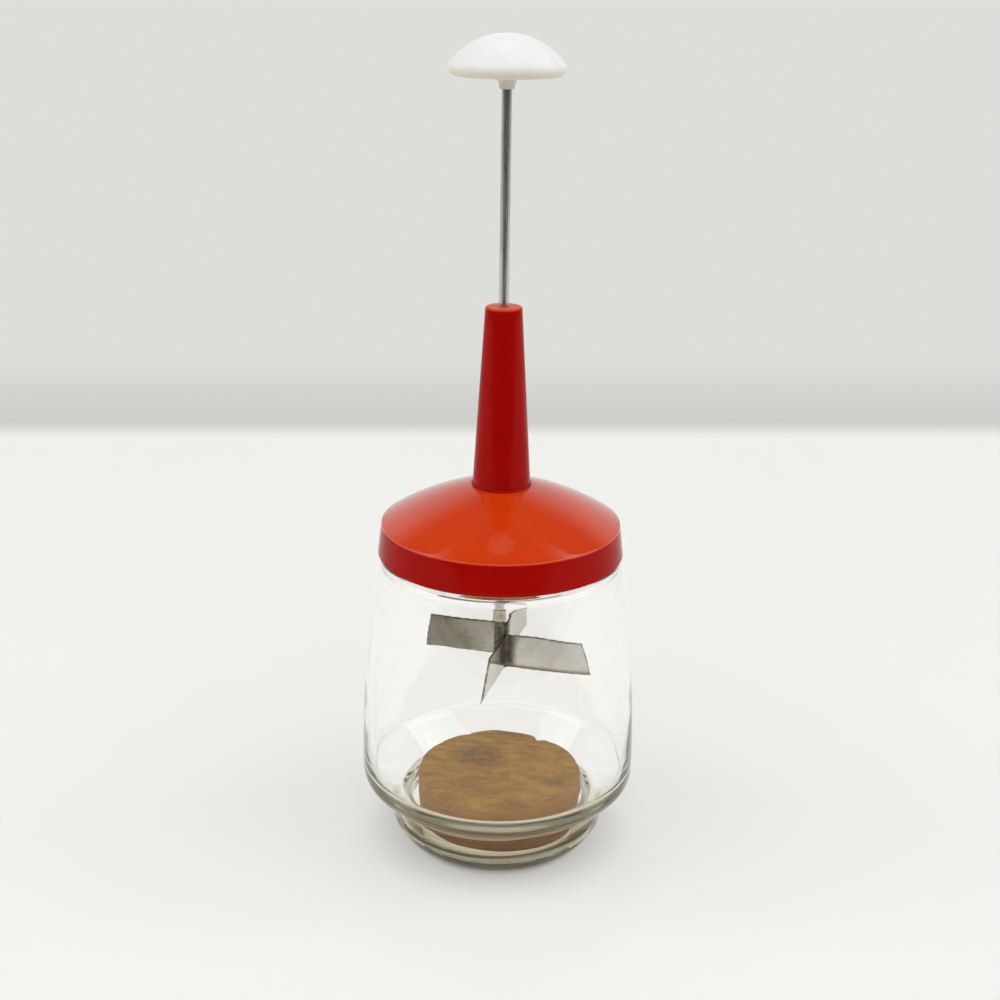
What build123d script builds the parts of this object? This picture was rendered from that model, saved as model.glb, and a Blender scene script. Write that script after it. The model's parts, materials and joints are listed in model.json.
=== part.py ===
"""Hand-pressed food chopper: a footed glass jar with a loose wooden chopping disc, a screw lid with a
tapered spring tower, and a sprung plunger rod that carries a knob and a cross of four cutting wings.

Millimetres, +Z up. The jar stands on Z = 0 and every turned piece is centred on the Z axis.
"""

import os
from math import atan2, cos, hypot, pi, sin, sqrt, tan

from build123d import *

os.makedirs("parts", exist_ok=True)

# Clearances and the overrun of every cut
overrun = 1.0
running_clearance = 0.05
press_clearance = 0.03
seat_gap = 0.1
thread_clearance = 0.7
disc_clearance = 1.3
spring_clearance = 0.3
follower_clearance = 0.5
blade_clearance = 1.6

# Wooden chopping disc
disc_radius = 27.4
disc_thickness = 15.0
disc_edge = 0.7
disc_side_share = 0.6

# Glass jar: foot with a well for the disc
floor_thickness = 6.9
foot_wall = 5.8
foot_height = 14.2
foot_waist_taper = 1.2
foot_edge_width = 6.1
foot_edge_height = 7.4
foot_edge_sagitta = 0.7
foot_ring_width = 4.4
foot_recess_depth = 1.2
foot_recess_slope = 1.6
waist_fillet = 1.2
well_lip_rise = 0.3
well_fillet = 1.0
well_lip_fillet = 4.0

# Glass jar: heel, bowed wall, shoulder and neck
glass_wall = 3.2
heel_radius = 44.4
heel_rise = 8.7
heel_fillet = 6.0
inner_heel_fillet = 3.5
wall_bulge = 1.65
shoulder_height = 98.6
shoulder_ledge = 3.4
shoulder_fillet = 1.6
inner_shoulder_drop = 5.0
inner_shoulder_sagitta = 0.9
neck_radius = 34.5
neck_wall = 3.2
neck_height = 10.2
rim_fillet = 1.1

# Lid
lid_skirt_gap = 1.5
lid_skirt_wall = 3.55
lid_skirt_draft = 1.3
lid_edge_fillet = 0.7
lid_land_roof = 1.2
lid_land_width = 4.4
lid_cone_rise = 12.0
lid_cone_crown = 1.2
lid_wall = 2.2
lid_hub_margin = 1.0
lid_hub_thickness = 3.6

# Plunger rod and its retaining clip
rod_radius = 1.5
rod_show = 63.0
rod_edge = 0.3
clip_thickness = 0.6
clip_width = 1.4
clip_groove_depth = 0.4
clip_mouth_share = 0.85

# Return spring and its two bossed seats
spring_wire = 0.8
spring_turns = 11
spring_end_turns = 1
spring_end_gap = 0.5
spring_boss_wall = 0.65
spring_boss_height = 1.5
follower_margin = 0.3
follower_thickness = 1.2

# Tapered spring tower and the guide plug pressed into it from below
tower_height = 56.2
tower_wall = 1.5
tower_bore_flare = 2.7
tower_cap_thickness = 2.5
tower_shoulder = 0.8
tower_lip = 0.35
tower_lip_height = 0.9
tower_edge_fillet = 0.5
spigot_wall = 1.4
plug_reach = 5.0
plug_flange_width = 3.3
plug_flange_thickness = 1.6
plug_edge = 0.4

# Knob
knob_radius = 16.4
knob_dome_height = 7.9
knob_rim_drop = 3.2
knob_rim_inset = 3.6
knob_under_rise = 0.6
knob_neck_wall = 0.7
knob_flare = 4.0
knob_neck_height = 4.2
knob_socket_depth = 9.0

# Blades: two V-bent strips back to back beside the rod, and the collar above them
blade_drop = 40.3
blade_height = 11.4
blade_stagger = 4.4
blade_thickness = 0.6
blade_bend_radius = 0.6
left_wing_trim = 4.5
front_wing_trim = 2.6
rear_wing_trim = 1.5
right_tip_slant = 3.2
left_tip_slant = 1.5
front_tip_slant = 9.5
rear_tip_slant = 1.5
blade_bevel = 1.3
blade_edge = 0.15
blade_turn = 15.0
collar_wall = 0.6
collar_height = 4.8
collar_lift = 1.3
collar_edge = 0.3

# Radii that follow from the sizes above
well_radius = disc_radius + disc_clearance
foot_radius = well_radius + foot_wall
foot_waist_radius = foot_radius - foot_waist_taper
foot_ring_radius = foot_radius - foot_edge_width
foot_recess_radius = foot_ring_radius - foot_ring_width
shoulder_radius = neck_radius + shoulder_ledge
mouth_radius = neck_radius - neck_wall
skirt_inner_radius = neck_radius + thread_clearance
lid_radius = skirt_inner_radius + lid_skirt_wall
lid_top_radius = lid_radius - lid_skirt_draft
guide_hole_radius = rod_radius + running_clearance
socket_radius = rod_radius + press_clearance
spring_boss_radius = guide_hole_radius + spring_boss_wall
spring_radius = spring_boss_radius + spring_clearance + spring_wire / 2
follower_radius = spring_radius + spring_wire / 2 + follower_margin
tower_top_bore = follower_radius + follower_clearance
tower_top_radius = tower_top_bore + tower_wall
tower_base_bore = tower_top_bore + tower_bore_flare
spigot_radius = tower_base_bore + spigot_wall
tower_base_radius = spigot_radius + tower_shoulder
plug_radius = tower_base_bore - press_clearance
plug_flange_radius = spigot_radius + plug_flange_width
lid_hub_radius = plug_flange_radius + lid_hub_margin
clip_radius = rod_radius + clip_width
knob_neck_radius = socket_radius + knob_neck_wall
knob_flare_radius = knob_neck_radius + knob_flare
collar_radius = socket_radius + collar_wall
blade_reach = mouth_radius - blade_clearance

# Heights that follow from the sizes above
disc_bottom = floor_thickness + seat_gap
disc_top = disc_bottom + disc_thickness
well_top = foot_height + well_lip_rise
heel_height = foot_height + heel_rise
rim_height = shoulder_height + neck_height
land_height = rim_height + seat_gap
skirt_bottom = shoulder_height + lid_skirt_gap
skirt_top = land_height + lid_land_roof
tower_base = skirt_top + lid_cone_rise
tower_top = tower_base + tower_height
cap_underside = tower_top - tower_cap_thickness
hub_underside = tower_base - lid_hub_thickness
clip_top = cap_underside - seat_gap
clip_bottom = clip_top - clip_thickness
follower_top = clip_bottom - seat_gap
follower_seat = follower_top - follower_thickness
plug_top = hub_underside + plug_reach
spring_bottom = plug_top + seat_gap
spring_top = follower_seat - seat_gap
knob_base = tower_top + rod_show
knob_under = knob_base + knob_neck_height
knob_rim = knob_under + knob_rim_drop
knob_top = knob_rim + knob_dome_height
front_blade_bottom = skirt_bottom - blade_drop
rear_blade_bottom = front_blade_bottom + blade_stagger
collar_bottom = rear_blade_bottom + blade_height + collar_lift

# Outside of the jar: sloping heel turned into one long bowed wall, rounded at the shoulder
heel_slope = atan2(heel_rise, heel_radius - foot_waist_radius)
heel_turn = (pi / 2 - heel_slope) / 2
heel_reach = heel_fillet * tan(heel_turn)
heel_start = (heel_radius - heel_reach * cos(heel_slope), heel_height - heel_reach * sin(heel_slope))
wall_foot = (heel_radius, heel_height + heel_reach)
heel_middle = (
    heel_radius - heel_fillet * (1 - cos(heel_turn)),
    wall_foot[1] - heel_fillet * sin(heel_turn),
)
wall_top = (shoulder_radius, shoulder_height - shoulder_fillet)
wall_middle = ((wall_foot[0] + wall_top[0]) / 2 + wall_bulge, (wall_foot[1] + wall_top[1]) / 2)
ledge_edge = (shoulder_radius - shoulder_fillet, shoulder_height)
shoulder_middle = (
    ledge_edge[0] + shoulder_fillet * sin(pi / 4),
    wall_top[1] + shoulder_fillet * cos(pi / 4),
)

# Inside of the jar: the same lines at the thickness of the glass, down to the well in the foot
inner_heel_height = heel_height + glass_wall / cos(heel_slope)
inner_wall_foot = (heel_radius - glass_wall, inner_heel_height + 2 * inner_heel_fillet)
inner_wall_top = (shoulder_radius - glass_wall, shoulder_height - inner_shoulder_drop)
inner_wall_middle = (
    (inner_wall_foot[0] + inner_wall_top[0]) / 2 + wall_bulge,
    (inner_wall_foot[1] + inner_wall_top[1]) / 2,
)


def half_section(*corners):
    """Closed half section of a turned piece: radius, height and fillet of each corner."""
    FilletPolyline(
        *[(radius, height) for radius, height, _ in corners],
        radius=[fillet for _, _, fillet in corners],
        close=True,
    )


with BuildPart() as jar:
    with BuildSketch(Plane.XZ):
        with BuildLine():
            FilletPolyline(
                (0, floor_thickness),
                (well_radius, floor_thickness),
                (well_radius, well_top),
                (inner_wall_foot[0], inner_heel_height),
                inner_wall_foot,
                radius=[well_fillet, well_lip_fillet, inner_heel_fillet],
            )
            ThreePointArc(inner_wall_foot, inner_wall_middle, inner_wall_top)
            SagittaArc(inner_wall_top, (mouth_radius, shoulder_height), -inner_shoulder_sagitta)
            FilletPolyline(
                (mouth_radius, shoulder_height),
                (mouth_radius, rim_height),
                (neck_radius, rim_height),
                (neck_radius, shoulder_height),
                radius=[rim_fillet, rim_fillet],
            )
            Line((neck_radius, shoulder_height), ledge_edge)
            ThreePointArc(ledge_edge, shoulder_middle, wall_top)
            ThreePointArc(wall_top, wall_middle, wall_foot)
            ThreePointArc(wall_foot, heel_middle, heel_start)
            FilletPolyline(
                heel_start,
                (foot_waist_radius, foot_height),
                (foot_radius, foot_edge_height),
                radius=[waist_fillet],
            )
            SagittaArc((foot_radius, foot_edge_height), (foot_ring_radius, 0), foot_edge_sagitta)
            Polyline(
                (foot_ring_radius, 0),
                (foot_recess_radius, 0),
                (foot_recess_radius - foot_recess_slope, foot_recess_depth),
                (0, foot_recess_depth),
                (0, floor_thickness),
            )
        make_face()
    revolve(axis=Axis.Z)

# The disc lies loose in the well, a little to one side
with BuildPart() as chopping_disc:
    disc_offset = disc_side_share * (well_radius - disc_radius)
    with BuildSketch(Plane.XY.offset(disc_bottom)):
        with Locations((disc_offset, 0)):
            Circle(disc_radius)
    extrude(amount=disc_thickness)
    chamfer(chopping_disc.edges(), disc_edge)

# Lid: skirt round the neck, flat land on the rim, crowned cone up to a thick hub
land_inner_radius = skirt_inner_radius - lid_land_width
spigot_hole_radius = spigot_radius + press_clearance
cone_foot = (tower_base_radius + 2 * tower_lip, tower_base)
cone_rim = (lid_top_radius, skirt_top)
cone_width = cone_rim[0] - cone_foot[0]
cone_length = hypot(cone_width, lid_cone_rise)
crown_radius = cone_length**2 / (8 * lid_cone_crown) + lid_cone_crown / 2
crown_depth = crown_radius - lid_cone_crown
crown_centre = (
    (cone_foot[0] + cone_rim[0]) / 2 - crown_depth * lid_cone_rise / cone_length,
    (cone_foot[1] + cone_rim[1]) / 2 - crown_depth * cone_width / cone_length,
)


def cone_point(radius, depth):
    """Point of the crowned cone at a radius and a depth below its outside."""
    reach = crown_radius - depth
    return (radius, crown_centre[1] + sqrt(reach**2 - (radius - crown_centre[0]) ** 2))


with BuildPart() as lid:
    with BuildSketch(Plane.XZ) as lid_section:
        with BuildLine():
            ThreePointArc(cone_foot, cone_point((cone_foot[0] + cone_rim[0]) / 2, 0), cone_rim)
            FilletPolyline(
                cone_rim,
                (lid_radius, skirt_bottom),
                (skirt_inner_radius, skirt_bottom),
                (skirt_inner_radius, land_height),
                (land_inner_radius, land_height),
                cone_point(land_inner_radius, lid_wall),
                radius=[lid_edge_fillet / 2, 0, lid_edge_fillet, 0],
            )
            ThreePointArc(
                cone_point(land_inner_radius, lid_wall),
                cone_point((land_inner_radius + lid_hub_radius) / 2, lid_wall),
                cone_point(lid_hub_radius, lid_wall),
            )
            Polyline(
                cone_point(lid_hub_radius, lid_wall),
                (lid_hub_radius, hub_underside),
                (spigot_hole_radius, hub_underside),
                (spigot_hole_radius, tower_base),
                cone_foot,
            )
        make_face()
        fillet(lid_section.vertices().sort_by_distance(cone_rim)[0], lid_edge_fillet)
    revolve(axis=Axis.Z)

# Tower: tapered outside and inside, lipped foot, spigot through the lid, guide hole in its cap
spigot_bottom = hub_underside + seat_gap
with BuildPart() as tower:
    with BuildSketch(Plane.XZ):
        with BuildLine():
            half_section(
                (guide_hole_radius, cap_underside, 0),
                (guide_hole_radius, tower_top, 0),
                (tower_top_radius, tower_top, tower_edge_fillet),
                (tower_base_radius, tower_base + tower_lip_height, 0),
                (tower_base_radius + tower_lip, tower_base + tower_lip_height, tower_lip / 2),
                (tower_base_radius + tower_lip, tower_base, 0),
                (spigot_radius, tower_base, 0),
                (spigot_radius, spigot_bottom, 0),
                (tower_base_bore, spigot_bottom, 0),
                (tower_base_bore, plug_top, 0),
                (tower_top_bore, cap_underside, 0),
            )
        make_face()
    revolve(axis=Axis.Z)

# Plug: flange under the lid's hub, barrel in the tower, boss that centres the spring
flange_top = hub_underside - press_clearance
flange_bottom = flange_top - plug_flange_thickness
with BuildPart() as guide_plug:
    with BuildSketch(Plane.XZ):
        with BuildLine():
            half_section(
                (guide_hole_radius, flange_bottom, 0),
                (plug_flange_radius, flange_bottom, plug_edge),
                (plug_flange_radius, flange_top, 0),
                (plug_radius, flange_top, 0),
                (plug_radius, plug_top, plug_edge),
                (spring_boss_radius, plug_top, 0),
                (spring_boss_radius, plug_top + spring_boss_height, plug_edge / 2),
                (guide_hole_radius, plug_top + spring_boss_height, 0),
            )
        make_face()
    revolve(axis=Axis.Z)

# Spring: one wire on a helix, close turns at both ends and open turns between
end_pitch = spring_wire + spring_end_gap
wire_rise = spring_top - spring_bottom - spring_wire
open_turns = spring_turns - 2 * spring_end_turns
open_pitch = (wire_rise - 2 * spring_end_turns * end_pitch) / open_turns


def wire_height(turn):
    """Height of the wire's centre after so many turns."""
    low = min(turn, spring_end_turns)
    high = max(turn - spring_turns + spring_end_turns, 0)
    return spring_bottom + spring_wire / 2 + end_pitch * (low + high) + open_pitch * (turn - low - high)


def wire_point(turn):
    """Centre of the wire after so many turns."""
    angle = 2 * pi * turn
    return Vector(spring_radius * cos(angle), spring_radius * sin(angle), wire_height(turn))


def wire_tangent(turn, step):
    """Direction of the wire, level with the mean rise on either side of a joint between arcs."""
    first = max(turn - step, 0)
    last = min(turn + step, spring_turns)
    rise = (wire_height(last) - wire_height(first)) / (2 * pi * (last - first))
    angle = 2 * pi * turn
    return Vector(-spring_radius * sin(angle), spring_radius * cos(angle), rise).normalized()


def biarc(start, start_tangent, end, end_tangent):
    """Two arcs that leave start and reach end along the given directions."""
    chord = end - start
    both = start_tangent + end_tangent
    bend = 2 * (start_tangent.dot(end_tangent) - 1)
    lean = chord.dot(both)
    reach = (lean - sqrt(lean**2 - bend * chord.dot(chord))) / bend
    middle = (start + start_tangent * reach + end - end_tangent * reach) / 2
    middle_tangent = (end - end_tangent * reach - start - start_tangent * reach).normalized()
    TangentArc(start, middle, tangent=start_tangent)
    TangentArc(middle, end, tangent=middle_tangent)


quarters_per_turn = 4
quarter = 1 / quarters_per_turn
with BuildPart() as return_spring:
    with BuildLine() as wire_path:
        for count in range(spring_turns * quarters_per_turn):
            here = count * quarter
            there = here + quarter
            biarc(
                wire_point(here),
                wire_tangent(here, quarter),
                wire_point(there),
                wire_tangent(there, quarter),
            )
    with BuildSketch(Plane(origin=wire_point(0), z_dir=wire_tangent(0, quarter))):
        Circle(spring_wire / 2)
    sweep(path=wire_path.line)

samples_per_turn = 24
wire_samples = [wire_point(k / samples_per_turn) for k in range(spring_turns * samples_per_turn + 1)]
apart = samples_per_turn // 2
self_gap = min(
    (a - b).length - spring_wire
    for k, a in enumerate(wire_samples)
    for b in wire_samples[k + apart:]
)
print(f"return_spring least gap to itself: {self_gap:.2f} mm")

# Follower: flanged washer between the spring and the clip
with BuildPart() as spring_follower:
    with BuildSketch(Plane.XY.offset(follower_seat)):
        Circle(follower_radius)
        Circle(guide_hole_radius, mode=Mode.SUBTRACT)
    extrude(amount=follower_thickness)
    with BuildSketch(Plane.XY.offset(follower_seat)):
        Circle(spring_boss_radius)
        Circle(guide_hole_radius, mode=Mode.SUBTRACT)
    extrude(amount=-spring_boss_height)

# Clip: open ring that snaps into the rod's groove from one side
groove_radius = rod_radius - clip_groove_depth
clip_bore_radius = groove_radius + press_clearance
clip_mouth = 2 * clip_mouth_share * clip_bore_radius
with BuildPart() as retaining_clip:
    with BuildSketch(Plane.XY.offset(clip_bottom)):
        Circle(clip_radius)
        Circle(clip_bore_radius, mode=Mode.SUBTRACT)
        with Locations((0, -clip_radius)):
            Rectangle(clip_mouth, 2 * clip_radius, mode=Mode.SUBTRACT)
        with PolarLocations(clip_bore_radius, 2, start_angle=30, angular_range=120):
            Circle(clip_groove_depth, mode=Mode.SUBTRACT)
    extrude(amount=clip_thickness)

# Rod: one round bar from the blades to the knob's socket, grooved for the clip
rod_bottom = rear_blade_bottom + blade_bevel
rod_top = knob_base + knob_socket_depth - seat_gap
with BuildPart() as plunger_rod:
    with BuildSketch(Plane.XY.offset(rod_bottom)):
        Circle(rod_radius)
    extrude(amount=rod_top - rod_bottom)
    chamfer(plunger_rod.edges(), rod_edge)
    with BuildSketch(Plane.XY.offset(clip_bottom - press_clearance)):
        Circle(rod_radius + overrun)
        Circle(groove_radius, mode=Mode.SUBTRACT)
    extrude(amount=clip_thickness + 2 * press_clearance, mode=Mode.SUBTRACT)

# Knob: flat mushroom with a turned-under rim and a flared neck round the rod
with BuildPart() as knob:
    with BuildSketch(Plane.XZ):
        with BuildLine():
            dome = TangentArc((0, knob_top), (knob_radius, knob_rim), tangent=(1, 0))
            TangentArc(
                (knob_radius, knob_rim),
                (knob_radius - knob_rim_inset, knob_under),
                tangent=dome % 1,
            )
            Line(
                (knob_radius - knob_rim_inset, knob_under),
                (knob_flare_radius, knob_under + knob_under_rise),
            )
            TangentArc(
                (knob_neck_radius, knob_base),
                (knob_flare_radius, knob_under + knob_under_rise),
                tangent=(0, 1),
            )
            Polyline(
                (knob_neck_radius, knob_base),
                (socket_radius, knob_base),
                (socket_radius, knob_base + knob_socket_depth),
                (0, knob_base + knob_socket_depth),
                (0, knob_top),
            )
        make_face()
    revolve(axis=Axis.Z)

# Collar pressed on the rod above the blades
with BuildPart() as blade_collar:
    with BuildSketch(Plane.XY.offset(collar_bottom)):
        Circle(collar_radius)
    extrude(amount=collar_height)
    chamfer(blade_collar.edges(), collar_edge)
    with BuildSketch(Plane.XY.offset(collar_bottom - overrun)):
        Circle(socket_radius)
    extrude(amount=collar_height + 2 * overrun, mode=Mode.SUBTRACT)

# Blades: the bends of both strips meet, and the rod lies in the corner between the left and front wings
bend_outside = blade_bend_radius + blade_thickness
near_middle = rod_radius + press_clearance + blade_thickness / 2
bend_inset = 2 * bend_outside * (1 - cos(pi / 4))
far_middle = near_middle + bend_inset - blade_thickness - press_clearance * cos(pi / 4)


def v_blade(bottom, turn, bend, side_tip, side_slant, end_tip, end_slant):
    """One strip with a bevelled lower edge, bent at right angles and cut slanting at both tips."""
    plan = Plane((0, 0, bottom), x_dir=Vector(1, 0, 0).rotate(Axis.Z, turn), z_dir=(0, 0, 1))
    side_cut = Plane(
        plan.from_local_coords(Vector(side_tip, 0, 0)),
        z_dir=plan.x_dir * blade_height + plan.z_dir * side_slant,
    )
    end_cut = Plane(
        plan.from_local_coords(Vector(0, -end_tip, 0)),
        z_dir=plan.z_dir * end_slant - plan.y_dir * blade_height,
    )
    with BuildPart() as blade:
        with BuildLine(plan) as strip_line:
            FilletPolyline(
                (side_tip + overrun, bend[1]),
                bend,
                (bend[0], -end_tip - overrun),
                radius=[blade_bend_radius + blade_thickness / 2],
            )
        with BuildSketch(Plane(strip_line.line @ 0, x_dir=-plan.y_dir, z_dir=strip_line.line % 0)):
            with BuildLine():
                Polyline(
                    (-blade_thickness / 2, 0),
                    (blade_edge - blade_thickness / 2, 0),
                    (blade_thickness / 2, blade_bevel),
                    (blade_thickness / 2, blade_height),
                    (-blade_thickness / 2, blade_height),
                    close=True,
                )
            make_face()
        sweep(path=strip_line.line)
        split(bisect_by=side_cut, keep=Keep.BOTTOM)
        split(bisect_by=end_cut, keep=Keep.BOTTOM)
    return blade


front_blade = v_blade(
    front_blade_bottom,
    -blade_turn,
    (near_middle, far_middle),
    blade_reach,
    right_tip_slant,
    blade_reach - front_wing_trim,
    front_tip_slant,
)
rear_blade = v_blade(
    rear_blade_bottom,
    180 - blade_turn,
    (-far_middle, -near_middle),
    blade_reach - left_wing_trim,
    left_tip_slant,
    blade_reach - rear_wing_trim,
    rear_tip_slant,
)

press_stroke = front_blade_bottom - disc_top - 3 * seat_gap
print(f"press stroke: {press_stroke:.2f} mm")
print(f"overall height: {knob_top:.2f} mm")

pieces = {
    "jar": jar,
    "chopping_disc": chopping_disc,
    "lid": lid,
    "tower": tower,
    "guide_plug": guide_plug,
    "return_spring": return_spring,
    "spring_follower": spring_follower,
    "retaining_clip": retaining_clip,
    "plunger_rod": plunger_rod,
    "knob": knob,
    "blade_collar": blade_collar,
    "front_blade": front_blade,
    "rear_blade": rear_blade,
}
for name, piece in pieces.items():
    piece.part.label = name
    export_step(piece.part, f"parts/{name}.step")
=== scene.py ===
import json
from contextlib import contextmanager
from itertools import pairwise
from math import atan2, ceil, cos, hypot, pi, radians, sin, tan, tau

import bmesh
import bpy
import numpy as np
from mathutils import Matrix, Vector


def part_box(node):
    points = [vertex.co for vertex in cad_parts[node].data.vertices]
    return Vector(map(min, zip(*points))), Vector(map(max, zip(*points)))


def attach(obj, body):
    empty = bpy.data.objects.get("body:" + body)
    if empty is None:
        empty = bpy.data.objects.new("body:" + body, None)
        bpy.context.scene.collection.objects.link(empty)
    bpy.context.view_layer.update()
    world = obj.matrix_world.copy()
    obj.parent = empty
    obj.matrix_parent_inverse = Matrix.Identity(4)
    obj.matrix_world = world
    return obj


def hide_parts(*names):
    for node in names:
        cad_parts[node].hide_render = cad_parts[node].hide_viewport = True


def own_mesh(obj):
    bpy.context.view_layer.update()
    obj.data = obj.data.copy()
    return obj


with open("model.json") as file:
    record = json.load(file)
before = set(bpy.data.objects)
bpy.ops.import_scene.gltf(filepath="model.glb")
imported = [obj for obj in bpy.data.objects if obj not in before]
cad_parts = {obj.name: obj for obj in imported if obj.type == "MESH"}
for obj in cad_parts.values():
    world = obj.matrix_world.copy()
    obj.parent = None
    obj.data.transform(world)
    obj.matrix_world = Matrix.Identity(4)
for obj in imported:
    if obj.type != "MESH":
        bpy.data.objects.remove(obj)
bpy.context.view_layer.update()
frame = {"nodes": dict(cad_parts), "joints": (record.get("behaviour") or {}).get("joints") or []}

bl_info = {
    "name": "Food chopper",
    "version": (1, 0, 0),
    "blender": (4, 5, 0),
    "location": "View3D > Sidebar > Chopper",
    "description": "Glass jar chopper with a sprung plunger, modelled round its packed solids",
    "category": "Add Mesh",
}

MM = 0.001
FRAME_PIXELS = 1000
LIGHT_BOUNCES = 24

# How finely pieces are turned and rounded, and the reach within which points are one or lie on a ring.
ROUND_STEPS = 192
KNOB_STEPS = 160
TOWER_STEPS = 128
SLIM_STEPS = 64
FILLET_STEP = radians(11)
MERGE_DISTANCE = 2e-6
PLACE_TOLERANCE = 6e-6
SMOOTH_ANGLE = radians(32)

# Fits and forms that more than one piece shares.
HAIR = 0.03 * MM
THREAD_PITCH = 3.4 * MM
BLADE_TURN = radians(15)
WOOD_GRAIN_TURN = (0.0, 0.0, 0.12)

# Chips in the wooden disc's rim: angle in degrees, then width and depth in millimetres.
RIM_CHIPS = ((58, 2.4, 1.0), (116, 2.2, 0.3), (-160, 3.0, 0.3), (12, 2.4, 0.25), (-62, 3.0, 0.3))

JAR_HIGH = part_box("jar")[1]
DISC_LOW, DISC_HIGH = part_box("chopping_disc")
LID_LOW, LID_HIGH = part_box("lid")
TOWER_LOW, TOWER_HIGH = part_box("tower")
SPRING_LOW, SPRING_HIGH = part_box("return_spring")
ROD_LOW, ROD_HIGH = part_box("plunger_rod")
KNOB_LOW, KNOB_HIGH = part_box("knob")
COLLAR_LOW, COLLAR_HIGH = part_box("blade_collar")
FRONT_BLADE_LOW, FRONT_BLADE_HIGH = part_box("front_blade")
REAR_BLADE_LOW, REAR_BLADE_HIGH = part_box("rear_blade")


def length(label, description, default):
    """A size that a user may change."""
    return bpy.props.FloatProperty(
        name=label, description=description, default=default, min=0.0, unit="LENGTH", precision=5
    )


def tone(label, description, default):
    """A colour that a user may change."""
    return bpy.props.FloatVectorProperty(
        name=label, description=description, default=default, size=3, min=0.0, max=1.0, subtype="COLOR"
    )


class JarSettings(bpy.types.PropertyGroup):
    heel_radius: length("Heel radius", "Widest radius of the jar", JAR_HIGH.y)
    rim_height: length("Rim height", "Height of the jar's mouth", JAR_HIGH.z)
    glass_wall: length("Glass wall", "Thickness of the bowed wall", 3.2 * MM)
    foot_radius: length("Foot radius", "Widest radius of the foot", 34.5 * MM)
    foot_height: length("Foot height", "Height of the waist above the foot", 14.2 * MM)
    well_radius: length("Well radius", "Radius of the well that holds the disc", 28.7 * MM)
    floor_height: length("Floor height", "Height of the well's floor", 6.9 * MM)
    ripple: length("Ripple", "How far the inner wall waves in and out", 0.28 * MM)
    thread_height: length("Thread height", "How far the screw thread stands off the neck", 0.33 * MM)
    glass: tone("Glass", "Tint of the glass's surface", (0.998, 0.998, 0.996))
    thick_glass: tone("Thick glass", "Tint of the glass where it is thick", (0.72, 0.71, 0.65))
    # Heel tint and foot lines are painted shade, put on the front of the heel and foot where the glass refracts dark
    # surroundings.
    painted_heel_shade: tone("Heel tint", "Olive of the thick heel and foot in front", (0.49, 0.405, 0.225))
    painted_foot_lines: tone("Foot lines", "Dark lines in the foot", (0.02, 0.012, 0.003))


class DiscSettings(bpy.types.PropertyGroup):
    radius: length("Radius", "Radius of the wooden disc", (DISC_HIGH.x - DISC_LOW.x) / 2)
    edge: length("Edge", "Worn rounding of the disc's edges", 0.9 * MM)
    cut_depth: length("Cut depth", "Depth of the deepest knife cuts", 0.16 * MM)
    pale: tone("Pale wood", "Early wood between the grain lines", (0.74, 0.375, 0.028))
    dark: tone("Dark wood", "Late wood in the grain lines", (0.44, 0.195, 0.014))


class LidSettings(bpy.types.PropertyGroup):
    radius: length("Skirt radius", "Outer radius at the skirt's lower edge", LID_HIGH.y)
    draft: length("Skirt draft", "How far the skirt leans in at its top", 1.25 * MM)
    skirt_height: length("Skirt height", "Height of the skirt", 10.0 * MM)
    cone_crown: length("Cone crown", "How far the cone bulges above a straight line", 1.2 * MM)
    skirt_wall: length("Skirt wall", "Thickness of the skirt", 3.5 * MM)
    thread_height: length("Thread height", "How far the screw thread stands off the skirt", 0.3 * MM)
    plastic: tone("Plastic", "Orange-red of the lid and tower", (0.345, 0.003, 0.002))
    # Painted light: the faded plastic colour is the lighter orange painted on the cone's outside and the tower's top,
    # the faces that catch the light from above.
    painted_light_tone: tone("Faded plastic", "Orange that the cone has faded to", (0.615, 0.042, 0.001))


class TowerSettings(bpy.types.PropertyGroup):
    top_radius: length("Top radius", "Outer radius at the top", 5.6 * MM)
    base_radius: length("Base radius", "Outer radius at the foot", 9.0 * MM)
    lip: length("Lip", "How far the foot's lip stands out", 0.35 * MM)


class SpringSettings(bpy.types.PropertyGroup):
    radius: length("Coil radius", "Radius of the wire's centre line", 2.9 * MM)
    wire: length("Wire", "Diameter of the wire", 0.8 * MM)
    turns: bpy.props.IntProperty(name="Turns", description="Turns of wire", default=11, min=3)
    steel: tone("Steel", "Drawn spring wire", (0.42, 0.41, 0.40))


class PlungerSettings(bpy.types.PropertyGroup):
    rod_radius: length("Rod radius", "Radius of the steel rod", ROD_HIGH.y)
    knob_radius: length("Knob radius", "Radius where the dome meets the rim", 16.4 * MM)
    dome_height: length("Dome height", "Height of the knob's dome", 7.9 * MM)
    rod_steel: tone("Rod steel", "Polished rod", (0.60, 0.595, 0.575))
    knob_plastic: tone("Knob plastic", "Warm white knob", (0.93, 0.92, 0.90))
    collar_metal: tone("Collar metal", "Pale collar above the blades", (0.93, 0.86, 0.73))


class BladeSettings(bpy.types.PropertyGroup):
    reach: length("Reach", "Distance from the rod's axis to the right wing's tip", 29.7 * MM)
    left_trim: length("Left trim", "How much shorter the left wing is", 4.5 * MM)
    front_trim: length("Front trim", "How much shorter the front wing is", 2.6 * MM)
    rear_trim: length("Rear trim", "How much shorter the rear wing is", 1.5 * MM)
    right_slant: length("Right slant", "How much shorter the right wing is along its top", 3.2 * MM)
    left_slant: length("Left slant", "How much shorter the left wing is along its top", 1.5 * MM)
    front_slant: length("Front slant", "How much shorter the front wing is along its top", 9.5 * MM)
    rear_slant: length("Rear slant", "How much shorter the rear wing is along its top", 1.5 * MM)
    thickness: length("Thickness", "Thickness of the strips", 0.6 * MM)
    bend: length("Bend", "Inner radius of the strips' bends", 0.6 * MM)
    bevel: length("Bevel", "Height of the ground bevel", 1.3 * MM)
    steel: tone("Steel", "Bare rolled strip", (0.60, 0.58, 0.53))
    # The stain colour also serves as painted shade: the left wing is darkened with it.
    stain_and_shade_colour: tone("Stain", "Brown-grey bloom on the strips", (0.17, 0.14, 0.075))


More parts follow.
